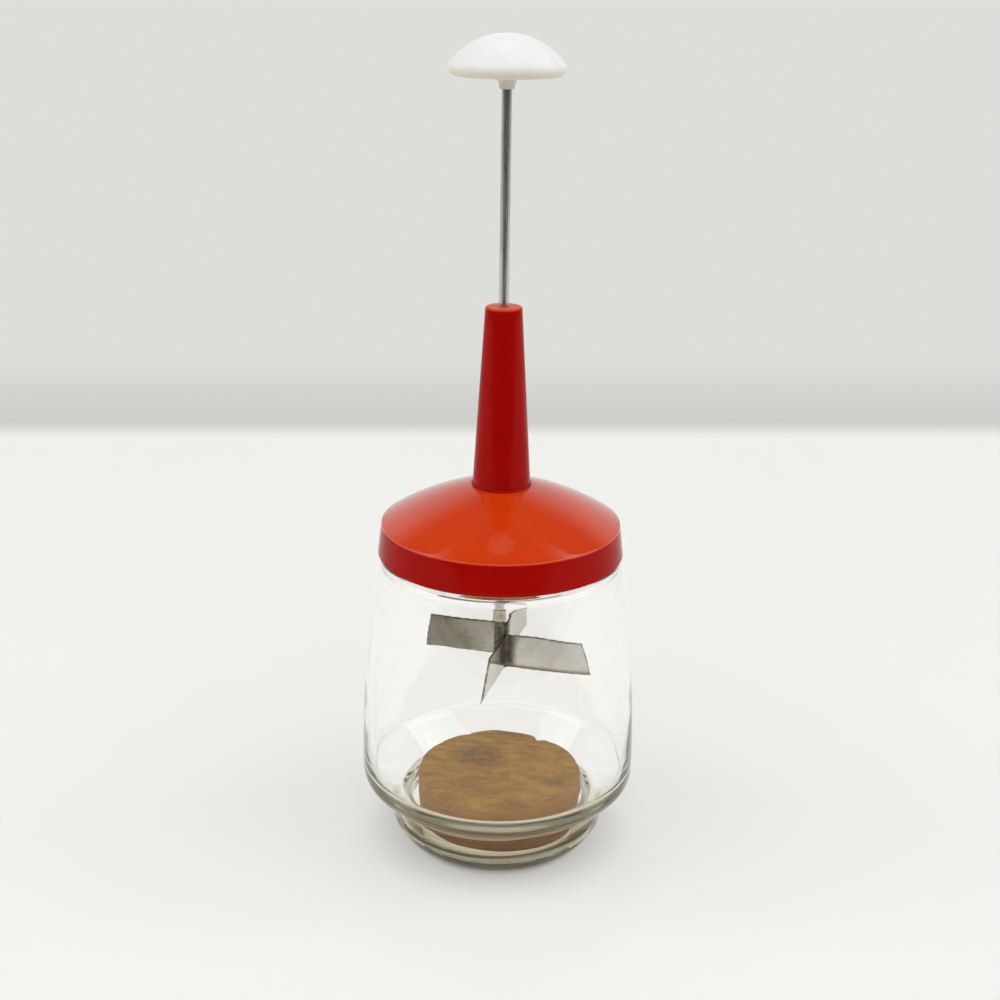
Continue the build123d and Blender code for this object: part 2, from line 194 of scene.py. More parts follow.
class StageSettings(bpy.types.PropertyGroup):
    floor: tone("Floor", "Colour of the floor", (0.86, 0.855, 0.835))
    wall: tone("Wall", "Colour of the wall behind", (0.725, 0.73, 0.705))
    wall_distance: length("Wall distance", "How far the wall stands behind the jar", 484 * MM)
    wall_turn: bpy.props.FloatProperty(
        name="Wall turn", description="Turn of the wall about the jar", default=radians(2.8), subtype="ANGLE"
    )


class Signal:
    """A shader output that adds Math nodes when it is used in an expression."""

    def __init__(self, nodes, socket):
        self.nodes = nodes
        self.socket = socket

    def math(self, operation, first, second=0.0):
        return self.nodes.add("ShaderNodeMath", {"operation": operation}, {0: first, 1: second})

    def __add__(self, other):
        return self.math("ADD", self, other)

    def __radd__(self, other):
        return self.math("ADD", other, self)

    def __sub__(self, other):
        return self.math("SUBTRACT", self, other)

    def __rsub__(self, other):
        return self.math("SUBTRACT", other, self)

    def __mul__(self, other):
        return self.math("MULTIPLY", self, other)

    def __rmul__(self, other):
        return self.math("MULTIPLY", other, self)

    def __pow__(self, other):
        return self.math("POWER", self, other)

    def __rpow__(self, other):
        return self.math("POWER", other, self)

    def distance(self, other):
        """Distance that two offsets at right angles make."""
        return (self**2.0 + other**2.0) ** 0.5

    def larger(self, other):
        return self.math("MAXIMUM", self, other)

    def smaller(self, other):
        return self.math("MINIMUM", self, other)

    def sine(self):
        return self.math("SINE", self)


class Nodes:
    """A node tree that is written as expressions."""

    def __init__(self, tree):
        self.tree = tree

    def add(self, kind, settings=None, inputs=None, output=0):
        """Adds a node, sets it up, fills or links its inputs, and gives one of its outputs."""
        node = self.tree.nodes.new(kind)
        for key, value in (settings or {}).items():
            if key == "stops":
                stops = node.color_ramp.elements
                while len(stops) < len(value):
                    stops.new(1.0)
                for stop, (position, shade) in zip(stops, value):
                    stop.position = position
                    stop.color = (*shade, 1.0)
            else:
                setattr(node, key, value)
        for key, value in (inputs or {}).items():
            self.feed(node.inputs[key], value)
        return Signal(self, node.outputs[output])

    def feed(self, socket, value):
        """Links a signal to an input, or sets the input's own value."""
        if isinstance(value, Signal):
            self.tree.links.new(value.socket, socket)
        elif socket.type == "RGBA" and len(value) == 3:
            socket.default_value = (*value, 1.0)
        else:
            socket.default_value = value

    def parts(self, vector):
        """The three parts of a vector."""
        split = self.add("ShaderNodeSeparateXYZ", {}, {0: vector}).socket.node
        return [Signal(self, output) for output in split.outputs]

    def round(self, vector):
        """Distance from the vertical axis, and height."""
        across, along, up = self.parts(vector)
        return across.distance(along), up

    def attribute(self, name):
        """A number that each point of the mesh carries."""
        return self.add("ShaderNodeAttribute", {"attribute_name": name}, output="Fac")

    def rays(self):
        """Three signals, each 1 for one kind of ray: from the camera, mirrored, and through glass."""
        path = self.add("ShaderNodeLightPath").socket.node.outputs
        return [Signal(self, path[f"Is {kind} Ray"]) for kind in ("Camera", "Glossy", "Transmission")]

    def stretched(self, vector, scale, turn=(0.0, 0.0, 0.0)):
        """A vector scaled and turned."""
        return self.add("ShaderNodeMapping", {}, {"Vector": vector, "Rotation": turn, "Scale": scale})

    def noise(self, vector, scale, detail=2.0, roughness=0.5, distortion=0.0):
        """Soft noise from 0 to 1, with so many features to the metre."""
        return self.add(
            "ShaderNodeTexNoise",
            {},
            {"Vector": vector, "Scale": scale, "Detail": detail, "Roughness": roughness, "Distortion": distortion},
        )

    def span(self, value, low, high, start=0.0, end=1.0):
        """A value mapped from one range to another, smoothly and within its ends."""
        return self.add(
            "ShaderNodeMapRange", {"interpolation_type": "SMOOTHSTEP"}, {0: value, 1: low, 2: high, 3: start, 4: end}
        )

    def ramp(self, value, *stops):
        """A colour ramp."""
        return self.add("ShaderNodeValToRGB", {"stops": stops}, {0: value})

    def blend(self, factor, first, second):
        """A mix of two colours."""
        return self.add("ShaderNodeMix", {"data_type": "RGBA"}, {0: factor, 6: first, 7: second}, output=2)

    def bump(self, height, distance, strength=1.0):
        """A normal that follows a height."""
        return self.add("ShaderNodeBump", {}, {"Height": height, "Distance": distance, "Strength": strength})


class Finish(Nodes):
    """A material with one shader: constants are set on its sockets, and signals are linked to them."""

    def __init__(self, name, **constants):
        self.material = bpy.data.materials.new(name)
        self.material.use_nodes = True
        super().__init__(self.material.node_tree)
        self.shader = self.tree.nodes["Principled BSDF"]
        self.give(**constants)
        self.place = self.add("ShaderNodeTexCoord", output="Object")

    def give(self, **values):
        """Sets or links the shader's sockets, named with underscores for spaces."""
        for name, value in values.items():
            self.feed(self.shader.inputs[name.replace("_", " ")], value)


def select_only(piece):
    """Leaves one piece selected and active."""
    bpy.ops.object.select_all(action="DESELECT")
    piece.select_set(True)
    bpy.context.view_layer.objects.active = piece


@contextmanager
def editing(piece):
    """Edit mode on one piece alone."""
    select_only(piece)
    bpy.ops.object.mode_set(mode="EDIT")
    yield piece
    bpy.ops.object.mode_set(mode="OBJECT")


def pick(piece, kind, test):
    """Selects the verts, edges or faces that pass a test, and nothing else."""
    modes = {"verts": "VERT", "edges": "EDGE", "faces": "FACE"}
    bpy.ops.mesh.select_mode(type=modes[kind])
    bpy.ops.mesh.select_all(action="DESELECT")
    shape = bmesh.from_edit_mesh(piece.data)
    found = [element for element in getattr(shape, kind) if test(element)]
    if not found:
        raise RuntimeError(f"{piece.name}: nothing to select")
    for element in found:
        element.select_set(True)
    bmesh.update_edit_mesh(piece.data)


def close_seams():
    """Merges doubles and points the faces of the piece in edit mode outwards."""
    bpy.ops.mesh.select_all(action="SELECT")
    bpy.ops.mesh.remove_doubles(threshold=MERGE_DISTANCE)
    bpy.ops.mesh.normals_make_consistent(inside=False)


def smooth(piece, angle=SMOOTH_ANGLE):
    """Smooth shading with sharp creases."""
    select_only(piece)
    bpy.ops.object.shade_smooth_by_angle(angle=angle)


def modify(piece, kind, **settings):
    """Adds a modifier, sets it and applies it."""
    modifier = piece.modifiers.new(kind.lower(), kind)
    for key, value in settings.items():
        setattr(modifier, key, value)
    select_only(piece)
    bpy.ops.object.modifier_apply(modifier=modifier.name)


def start_point(name, place):
    """A new piece that is a single point."""
    bpy.ops.object.select_all(action="DESELECT")
    bpy.ops.mesh.primitive_plane_add(size=MM, location=place)
    piece = bpy.context.object
    piece.name = piece.data.name = name
    bpy.ops.object.transform_apply(location=True, rotation=False, scale=False)
    with editing(piece):
        bpy.ops.mesh.select_all(action="SELECT")
        bpy.ops.mesh.merge(type="CENTER")
    return piece


def draw_line(steps):
    """Extrudes the selected point through a row of moves, in edit mode."""
    for step in steps:
        bpy.ops.mesh.extrude_vertices_move(TRANSFORM_OT_translate={"value": step})


def arc(start, middle, end, count):
    """Points from start to end on the circle through three points of a half section."""
    (ax, ay), (bx, by), (cx, cy) = start, middle, end
    a_square, b_square, c_square = ax * ax + ay * ay, bx * bx + by * by, cx * cx + cy * cy
    scale = 2 * (ax * (by - cy) + bx * (cy - ay) + cx * (ay - by))
    x = (a_square * (by - cy) + b_square * (cy - ay) + c_square * (ay - by)) / scale
    y = (a_square * (cx - bx) + b_square * (ax - cx) + c_square * (bx - ax)) / scale
    radius = hypot(ax - x, ay - y)
    first = atan2(ay - y, ax - x)
    sweep = (atan2(cy - y, cx - x) - first) % tau
    if (atan2(by - y, bx - x) - first) % tau > sweep:
        sweep -= tau
    turns = [first + sweep * k / count for k in range(count + 1)]
    return [(x + radius * cos(t), y + radius * sin(t)) for t in turns]


def tangent_arc(start, heading, end, count):
    """Points on the arc that leaves start along a heading and reaches end."""
    across, up = end[0] - start[0], end[1] - start[1]
    half_turn = (atan2(up, across) - heading + pi) % tau - pi
    reach = hypot(across, up) / (2 * cos(half_turn / 2))
    lean = heading + half_turn / 2
    return arc(start, (start[0] + reach * cos(lean), start[1] + reach * sin(lean)), end, count)


def bowed(start, end, sagitta, count):
    """Points on a shallow arc that bulges to the right of its way by a sagitta."""
    across, up = end[0] - start[0], end[1] - start[1]
    span = hypot(across, up)
    middle = (
        (start[0] + end[0]) / 2 + sagitta * up / span,
        (start[1] + end[1]) / 2 - sagitta * across / span,
    )
    return arc(start, middle, end, count)


def straight(start, end, count):
    """Points on a straight run."""
    return [
        (start[0] + (end[0] - start[0]) * k / count, start[1] + (end[1] - start[1]) * k / count)
        for k in range(count + 1)
    ]


def chain(*runs):
    """One outline from runs of points, without the points that repeat."""
    outline = []
    for point in (point for run in runs for point in run):
        if not outline or hypot(point[0] - outline[-1][0], point[1] - outline[-1][1]) > MERGE_DISTANCE:
            outline.append(point)
        elif len(point) > len(outline[-1]):
            outline[-1] = point
    return outline


def round_rings(piece, outline):
    """Rounds the rings of a turned piece that stand at corners with a fillet, given as a third number."""
    for before, corner, after in zip(outline, outline[1:], outline[2:]):
        if len(corner) < 3:
            continue
        radius, height, fillet = corner
        arrive = atan2(height - before[1], radius - before[0])
        leave = atan2(after[1] - height, after[0] - radius)
        bend = abs((leave - arrive + pi) % tau - pi)

        def on_ring(edge):
            return all(
                abs(hypot(end.co.x, end.co.y) - radius) < PLACE_TOLERANCE
                and abs(end.co.z - height) < PLACE_TOLERANCE
                for end in edge.verts
            )

        pick(piece, "edges", on_ring)
        bpy.ops.mesh.bevel(
            offset=fillet * tan(bend / 2),
            offset_type="OFFSET",
            segments=max(3, ceil(bend / FILLET_STEP)),
            profile=0.5,
            affect="EDGES",
            clamp_overlap=False,
        )


def turn(name, outline, steps=ROUND_STEPS):
    """A turned piece: its half section is drawn, spun about Z, and its corner rings are rounded."""
    piece = start_point(name, (outline[0][0], 0, outline[0][1]))
    with editing(piece):
        bpy.ops.mesh.select_all(action="SELECT")
        draw_line((there[0] - here[0], 0, there[1] - here[1]) for here, there in pairwise(outline))
        bpy.ops.mesh.select_all(action="SELECT")
        bpy.ops.mesh.spin(steps=steps, angle=tau, center=(0, 0, 0), axis=(0, 0, 1))
        close_seams()
        round_rings(piece, outline)
        close_seams()
    smooth(piece)
    return piece


def points_of(piece):
    """The piece's points as rows of numbers."""
    points = np.empty(len(piece.data.vertices) * 3)
    piece.data.vertices.foreach_get("co", points)
    return points.reshape(-1, 3)


def set_points(piece, points):
    """Moves the piece's points."""
    piece.data.vertices.foreach_set("co", points.ravel())
    piece.data.update()


def raise_thread(piece, radius, low, high, height):
    """A screw thread: the wall at a radius moves out along a helix, or in with a negative height."""
    points = points_of(piece)
    out = np.hypot(points[:, 0], points[:, 1])
    up = points[:, 2]
    climb = (up - low) / THREAD_PITCH - np.arctan2(points[:, 1], points[:, 0]) / tau
    crest = np.clip(1.6 * np.cos(tau * climb) - 0.4, 0, 1)
    fade = np.clip(np.minimum(up - low, high - up) / (0.35 * THREAD_PITCH), 0, 1)
    on_wall = np.abs(out - radius) < PLACE_TOLERANCE
    lift = np.where(on_wall, height * crest * fade, 0)
    points[:, :2] *= ((out + lift) / np.maximum(out, MERGE_DISTANCE))[:, None]
    set_points(piece, points)


def mark(piece, name, values):
    """Gives each point of a piece a number that its material reads."""
    attribute = piece.data.attributes.new(name, "FLOAT", "POINT")
    attribute.data.foreach_set("value", values.astype(np.float32))


def scaled(colour, share):
    """A colour made darker or brighter."""
    return tuple(share * part for part in colour)


def seat(piece, finish, body, slot, *nodes):
    """Gives a finished piece its material, its body and the nodes that it stands for."""
    piece.data.materials.clear()
    piece.data.materials.append(finish)
    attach(piece, body)
    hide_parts(*nodes)


def clear_glass(size, waist, heel_height):
    """Pressed glass with faint waves and a few smears; on its front half the heel is painted olive and the foot below
    it gets dark painted lines, a painted shade for what the glass refracts there.
    """
    finish = Finish("pressed_glass", Base_Color=size.glass, Transmission_Weight=1.0, IOR=1.5, Roughness=0.0)
    darkening = finish.add("ShaderNodeVolumeAbsorption", {}, {"Color": size.thick_glass, "Density": 36.0})
    finish.feed(finish.tree.nodes["Material Output"].inputs["Volume"], darkening)
    out, up = finish.round(finish.place)
    # Painted shade: the outside of the front half is painted olive in the heel and given dark lines in the foot, in
    # place of the dark surroundings and wood that the glass refracts.
    outside = finish.span(out - (up - size.foot_height).larger(0.0), waist - 3.6 * MM, waist - 2.2 * MM)
    front = finish.span(finish.parts(finish.place)[1], 0.0, -20 * MM)
    thick = outside * front * finish.span(up, heel_height + 5.5 * MM, heel_height + 2.5 * MM)
    in_foot = finish.span(up, size.foot_height, size.foot_height - 4 * MM)
    painted_line_noise = finish.noise(finish.stretched(finish.place, (9.0, 9.0, 900.0)), 1.0, 2.0, 0.6)
    painted_line_mask = thick * in_foot * finish.span(painted_line_noise, 0.44, 0.56)
    waves = finish.noise(finish.stretched(finish.place, (1.0, 1.0, 0.45)), 130.0, 1.0)
    smears = finish.noise(finish.stretched(finish.place, (1.0, 1.0, 0.3), (0.0, 0.4, 0.0)), 90.0, 4.0, 0.6)
    finish.give(
        Base_Color=finish.blend(painted_line_mask, finish.blend(thick, size.glass, size.painted_heel_shade), size.painted_foot_lines),
        Roughness=finish.span(smears, 0.56, 0.78, 0.0, 0.06),
        Normal=finish.bump(waves, 0.12 * MM, 0.22),
    )
    return finish.material


def moulded_plastic(name, shade, roughness, aged, painted_light_tone=None, zones=(), gloss=0.14):
    """Glossy moulding: orange peel, faint flow marks, fine scuffs and dull patches from handling.

    Within each zone of heights its colour is blended toward a second tone, painted light on the lid's upward faces and
    painted shade under the knob's rim, and it may have a coat. A zone is given as its lower end on the axis, its upper
    end, the reach of its soft ends, how steeply its lower end falls away from the axis, and its coat.
    """
    finish = Finish(name, Base_Color=shade, Roughness=roughness, Specular_IOR_Level=gloss, Coat_Roughness=0.08)
    place = finish.place
    flow = finish.noise(finish.stretched(place, (1.0, 1.0, 2.2)), 55.0, 3.0, 0.55, 0.6)
    handled = finish.noise(place, 38.0, 4.0, 0.6)
    scuffs = finish.noise(finish.stretched(place, (60.0, 900.0, 420.0), (0.3, 0.5, 0.7)), 1.0, 3.0, 0.7)
    hairlines = finish.noise(finish.stretched(place, (1300.0, 50.0, 300.0), (0.2, 0.1, 1.1)), 1.0, 2.0, 0.6)
    marks = finish.span(scuffs, 0.66, 0.74).larger(finish.span(hairlines, 0.68, 0.75))
    marks = marks * finish.span(handled, 0.4, 0.65)
    peel = finish.noise(place, 1100.0, 1.0)
    body = finish.blend(finish.span(flow, 0.3, 0.7), scaled(shade, 0.93), shade)
    body = finish.blend(finish.span(handled, 0.5, 0.8, 0.0, 0.6), body, aged)
    out, up = finish.round(place)
    # Each zone blends the body toward the painted tone: painted light on upward faces of the lid, painted shade under
    # the knob's rim.
    for low, high, reach, fall, coat in zones:
        within = finish.span(up + out * fall, low - reach, low) * finish.span(up, high + reach, high)
        body = finish.blend(within * finish.span(flow, 0.2, 0.8, 0.85, 1.0), body, painted_light_tone)
        if coat:
            finish.give(Coat_Weight=within * coat)
    paler = tuple(0.7 * part + 0.1 for part in shade)
    finish.give(
        Base_Color=finish.blend(marks * 0.12, body, paler),
        Roughness=finish.span(handled, 0.35, 0.75, roughness - 0.05, roughness + 0.08) + marks * 0.22,
        Normal=finish.bump(peel * 0.5 + flow * 0.8 - marks * 0.4, 0.05 * MM, 0.35),
    )
    return finish.material


def knob_plastic(shade, under, rim):
    """White moulding, painted cream below its rim as a painted shade."""
    # Painted shade: below the rim the white is blended to cream, standing in for the shade under the knob.
    painted_under_shade, below = (0.78, 0.72, 0.60), (0.0, under, rim - under, 0.0, 0.0)
    return moulded_plastic("white_moulding", shade, 0.3, scaled(shade, 0.97), painted_under_shade, [below])


def lid_plastic(size, cone_foot):
    """The one moulding compound of lid and tower: the cone's outside and the tower's top are painted a lighter orange,
    a painted highlight where they face up.
    """
    soft = 0.3 * MM
    fall = (LID_HIGH.z - LID_LOW.z - size.skirt_height) / (size.radius - size.draft - cone_foot)
    tower_top = (TOWER_HIGH.z - soft, TOWER_HIGH.z, soft, 0.0, 0.0)
    cone = (LID_HIGH.z + cone_foot * fall - soft, LID_HIGH.z, soft, fall, 0.95)
    dulled = scaled(size.plastic, 0.8)
    return moulded_plastic(
        "orange_red_moulding", size.plastic, 0.1, dulled, size.painted_light_tone, [tower_top, cone], gloss=0.06
    )


def drawn_steel(name, shade, roughness, grimy=0.0):
    """Round bar or wire: fine lines along it, faint bands of tarnish, and grime below a height."""
    finish = Finish(name, Base_Color=shade, Metallic=1.0, Roughness=roughness)
    lines = finish.noise(finish.stretched(finish.place, (4000.0, 4000.0, 60.0)), 1.0, 3.0, 0.6)
    tarnish = finish.noise(finish.stretched(finish.place, (90.0, 90.0, 40.0)), 1.0, 4.0, 0.6)
    steel = finish.blend(finish.span(tarnish, 0.45, 0.75, 0.0, 0.75), shade, scaled(shade, 0.62))
    rough = finish.span(lines, 0.3, 0.7, roughness - 0.04, roughness + 0.1) + finish.span(tarnish, 0.5, 0.8, 0.0, 0.12)
    if grimy:
        crust = finish.noise(finish.place, 900.0, 3.0, 0.6)
        dirty = finish.span(finish.parts(finish.place)[2], grimy + MM, grimy) * finish.span(crust, 0.3, 0.6, 0.6, 1.0)
        steel = finish.blend(dirty, steel, (0.15, 0.105, 0.05))
        rough = rough + dirty * 0.3
        finish.give(Metallic=1 - dirty * 0.7)
    finish.give(Base_Color=steel, Roughness=rough, Normal=finish.bump(lines, 0.02 * MM, 0.3))
    return finish.material


def rolled_strip(shade, stain_and_shade_colour, middle):
    """Blade steel: rolling lines, cloudy stains, water spots, a brighter ground edge from an attribute, painted shade
    that darkens the left wing, and dark hub grime that is partly painted crease shade.
    """
    finish = Finish("strip_steel", Base_Color=shade, Metallic=1.0, Roughness=0.2)
    place = finish.place
    clouds = finish.noise(place, 75.0, 3.0, 0.5)
    spots = finish.noise(place, 620.0, 3.0, 0.6)
    rolling = finish.noise(finish.stretched(place, (90.0, 90.0, 2600.0)), 1.0, 2.0, 0.5)
    scratches = finish.noise(finish.stretched(place, (300.0, 300.0, 2200.0), (0.5, 0.35, 0.0)), 1.0, 3.0, 0.7)
    scratches = finish.span(scratches, 0.64, 0.7)
    ground, share, tip = (finish.attribute(name) for name in ("ground", "height share", "tip share"))
    burr = finish.span(share, 0.945, 0.975).larger(finish.span(share, 0.035, 0.012))
    burr = burr.larger(finish.span(tip, 0.98, 0.995))
    across, along = finish.parts(place)[:2]
    # Painted shade: the left wing takes a heavier stain, from 0.3 to 0.85 of it, which stands in for the shade that
    # wing is in.
    left = finish.span(across, -2.0 * MM, -24 * MM, 0.3, 0.85) * finish.span(along, -1.0 * MM, 1.5 * MM)
    left = left * finish.span(across, 3.0 * MM, -2.0 * MM)
    # Hub grime near the strips' middle is partly real grime and partly painted shade of the creases between the wings.
    hub = finish.span((across - middle.x).distance(along - middle.y), 4.6 * MM, 1.4 * MM)
    stain_and_painted_shade = finish.span(clouds, 0.3, 0.7) * 0.22 + finish.span(spots, 0.5, 0.72) * 0.12 + left
    stain_and_painted_shade = (stain_and_painted_shade * (1 - ground * 0.6)).smaller(0.88)
    bright = tuple(min(1.12 * part, 1.0) for part in shade)
    steel = finish.blend(stain_and_painted_shade, finish.blend(ground, shade, bright), stain_and_shade_colour)
    # The dark brown goes on the burred edges as grime, and round the hub as grime with painted crease shade.
    grime = (hub * finish.span(spots, 0.3, 0.6, 0.7, 1.0)).larger(burr * finish.span(spots, 0.35, 0.55, 0.3, 0.8))
    finish.give(
        Base_Color=finish.blend(grime * 0.9, steel, (0.055, 0.036, 0.018)),
        Metallic=finish.span(stain_and_painted_shade + grime, 0.2, 1.0, 1.0, 0.55),
        Roughness=0.1 + stain_and_painted_shade * 0.2 + ground * 0.22 + scratches * 0.1 + grime * 0.3,
        Normal=finish.bump(rolling * 0.3 + clouds * 0.8 - scratches * 0.5, 0.03 * MM, 0.35),
    )
    return finish.material


def chopped_wood(pale, dark, radius):
    """Hardwood with long grain: rings round a far axis, fibres, stains, and knife cuts from an attribute."""
    finish = Finish("worn_wood", Base_Color=pale, Roughness=0.62, Specular_IOR_Level=0.1)
    place = finish.place
    sway = finish.noise(finish.stretched(place, (22.0, 60.0, 60.0)), 1.0, 3.0, 0.55)
    along, up = finish.parts(finish.stretched(place, (1.0, 1.0, 1.0), WOOD_GRAIN_TURN))[1:]
    from_heart = (along + 21 * MM).distance(up + 34 * MM)
    rings = ((from_heart + sway * 0.012) * 2600.0).sine() * 0.5 + 0.5
    fibre = finish.noise(finish.stretched(place, (180.0, 1300.0, 1300.0), WOOD_GRAIN_TURN), 1.0, 4.0, 0.7)
    pores = finish.noise(finish.stretched(place, (300.0, 2600.0, 2600.0), WOOD_GRAIN_TURN), 1.0, 2.0, 0.5)
    pores = finish.span(pores, 0.6, 0.68)
    blotch = finish.noise(place, 85.0, 4.0, 0.65)
    clouds = finish.noise(place, 42.0, 3.0, 0.6, 0.5)
    mottle = finish.noise(place, 520.0, 3.0, 0.6)
    grain = finish.span(rings * 0.12 + fibre * 0.7 + blotch * 0.6 + mottle * 0.45, 0.68, 1.2)
    wood = finish.ramp(grain, (0.0, pale), (0.55, tuple((a + b) / 2 for a, b in zip(pale, dark))), (1.0, dark))
    soaked = scaled(dark, 0.5)
    wood = finish.blend(finish.span(clouds, 0.5, 0.72, 0.0, 0.5), wood, soaked)
    x, y = finish.parts(place)[:2]
    worn = (x + 6.5 * MM).distance(y - 8.0 * MM) + (blotch - 0.5) * 0.02
    wood = finish.blend(finish.span(worn, 11 * MM, 4 * MM) * finish.span(mottle, 0.3, 0.6, 0.35, 0.7), wood, soaked)
    side = finish.span(finish.round(place)[0], radius - 1.3 * MM, radius - 0.3 * MM)
    wood = finish.blend(side * 0.7, wood, (0.64, 0.275, 0.035))
    wood = finish.blend(finish.attribute("cut") * 0.14, wood, soaked)
    wood = finish.blend(pores * 0.45, wood, soaked)
    finish.give(
        Base_Color=wood,
        Roughness=finish.span(fibre, 0.3, 0.7, 0.5, 0.72),
        Normal=finish.bump(fibre * 0.7 - pores * 0.6 - grain * 0.3, 0.12 * MM, 0.6),
    )
    return finish.material


def collar_finish(shade, low, high):
    """Pale turned metal with turning lines and brown bands where it meets the rod."""
    finish = Finish("collar_metal", Base_Color=shade, Metallic=0.25, Roughness=0.35)
    up = finish.parts(finish.place)[2]
    lines = finish.noise(finish.stretched(finish.place, (200.0, 200.0, 6000.0)), 1.0, 2.0)
    grime = finish.noise(finish.place, 700.0, 4.0, 0.6)
    band = finish.span(up, high - 1.1 * MM, high - 0.2 * MM).larger(finish.span(up, low + 0.5 * MM, low))
    brown = (band * 0.75 + finish.span(grime, 0.45, 0.75, 0.0, 0.4)).smaller(0.9)
    finish.give(
        Base_Color=finish.blend(brown, shade, (0.17, 0.075, 0.03)),
        Roughness=finish.span(grime, 0.3, 0.7, 0.3, 0.5),
        Normal=finish.bump(lines, 0.02 * MM, 0.4),
    )
    return finish.material


class CHOPPER_OT_glass_jar(bpy.types.Operator):
    """Footed glass jar: bowed wall with ripples inside, well for the disc, and a threaded neck"""

    bl_idname = "chopper.glass_jar"
    bl_label = "Glass jar"

    def execute(self, context):
        size = context.scene.chopper_jar
        wall, bulge = size.glass_wall, 1.65 * MM
        waist, waist_fillet = size.foot_radius - 1.2 * MM, 1.2 * MM
        heel_radius, heel_height, heel_fillet = size.heel_radius, size.foot_height + 8.7 * MM, 6.0 * MM
        neck_radius, mouth_radius, rim_fillet, neck_fillet = 34.5 * MM, 31.3 * MM, 1.1 * MM, 0.5 * MM
        neck_top, thread_top = size.rim_height - 1.4 * MM, size.rim_height - 1.8 * MM
        shoulder_radius, shoulder_height, shoulder_fillet = 37.9 * MM, 98.6 * MM, 1.6 * MM
        neck_foot, thread_foot = shoulder_height + 0.6 * MM, shoulder_height + 1.6 * MM
        shoulder_bow, foot_bow = 0.9 * MM, -0.7 * MM
        wall_rings, neck_rings, bend_rings, foot_rings = 48, 27, 6, 10

        slope = atan2(heel_height - size.foot_height, heel_radius - waist)
        half_turn = (pi / 2 - slope) / 2
        reach = heel_fillet * tan(half_turn)
        heel_start = (heel_radius - reach * cos(slope), heel_height - reach * sin(slope))
        wall_foot = (heel_radius, heel_height + reach)
        wall_top = (shoulder_radius, shoulder_height - shoulder_fillet)
        wall_middle = ((wall_foot[0] + wall_top[0]) / 2 + bulge, (wall_foot[1] + wall_top[1]) / 2)
        ledge_edge = (shoulder_radius - shoulder_fillet, shoulder_height)

        inner_heel, inner_fillet = (heel_radius - wall, heel_height + wall / cos(slope)), 3.5 * MM
        inner_foot = (inner_heel[0], inner_heel[1] + 7.0 * MM)
        inner_top = (shoulder_radius - wall, shoulder_height - 5.0 * MM)
        inner_middle = ((inner_foot[0] + inner_top[0]) / 2 + bulge, (inner_foot[1] + inner_top[1]) / 2)
        floor_ring, well_fillet = 14.0 * MM, 1.0 * MM
        well_lip = (size.well_radius, size.foot_height + 0.3 * MM, 3.0 * MM)
        foot_edge, ring_outside, ring_inside = (size.foot_radius, 7.4 * MM), (28.4 * MM, 0.0), (24.0 * MM, 0.0)
        hollow_edge, hollow_ring, hollow = 22.4 * MM, 12.0 * MM, 1.2 * MM

        outline = chain(
            [(0.0, size.floor_height), (floor_ring, size.floor_height)],
            [(size.well_radius, size.floor_height, well_fillet), well_lip, (*inner_heel, inner_fillet)],
            arc(inner_foot, inner_middle, inner_top, wall_rings),
            bowed(inner_top, (mouth_radius, shoulder_height), shoulder_bow, bend_rings),
            [(mouth_radius, size.rim_height, rim_fillet), (neck_radius, size.rim_height, rim_fillet)],
            straight((neck_radius, neck_top), (neck_radius, neck_foot), neck_rings),
            [(neck_radius, shoulder_height, neck_fillet), ledge_edge],
            tangent_arc(ledge_edge, 0.0, wall_top, bend_rings),
            arc(wall_top, wall_middle, wall_foot, wall_rings),
            tangent_arc(wall_foot, -pi / 2, heel_start, foot_rings),
            [(waist, size.foot_height, waist_fillet), foot_edge],
            bowed(foot_edge, ring_outside, foot_bow, foot_rings),
            [ring_inside, (hollow_edge, hollow), (hollow_ring, hollow), (0.0, hollow)],
        )
        jar = turn("glass_jar", outline)
        raise_thread(jar, neck_radius, thread_foot, thread_top, size.thread_height)
        self.ripple_inside(jar, inner_heel[1], inner_top[1], mouth_radius, size.ripple)
        seat(jar, clear_glass(size, waist, heel_height), "jar_body", "clear_glass", "jar")
        return {"FINISHED"}

    def ripple_inside(self, jar, low, high, mouth, height):
        """Waves the wall's inner face in and out, fading towards the heel and the shoulder."""
        fade_low, fade_high = 14 * MM, 9 * MM
        inner = jar.vertex_groups.new(name="inner wall")
        for vertex in jar.data.vertices:
            out, up = hypot(vertex.co.x, vertex.co.y), vertex.co.z
            rise = min((up - low) / fade_low, (high - up) / fade_high, 1.0)
            facing = vertex.normal.x * vertex.co.x + vertex.normal.y * vertex.co.y
            if rise > 0 and facing < 0 and out > mouth:
                inner.add([vertex.index], rise, "REPLACE")
        ripple = bpy.data.textures.new("glass ripple", "CLOUDS")
        ripple.noise_scale = 15 * MM
        ripple.noise_depth = 1
        modify(
            jar, "DISPLACE", texture=ripple, texture_coords="LOCAL", vertex_group=inner.name, mid_level=0.5,
            strength=height,
        )
        jar.vertex_groups.clear()
        smooth(jar)


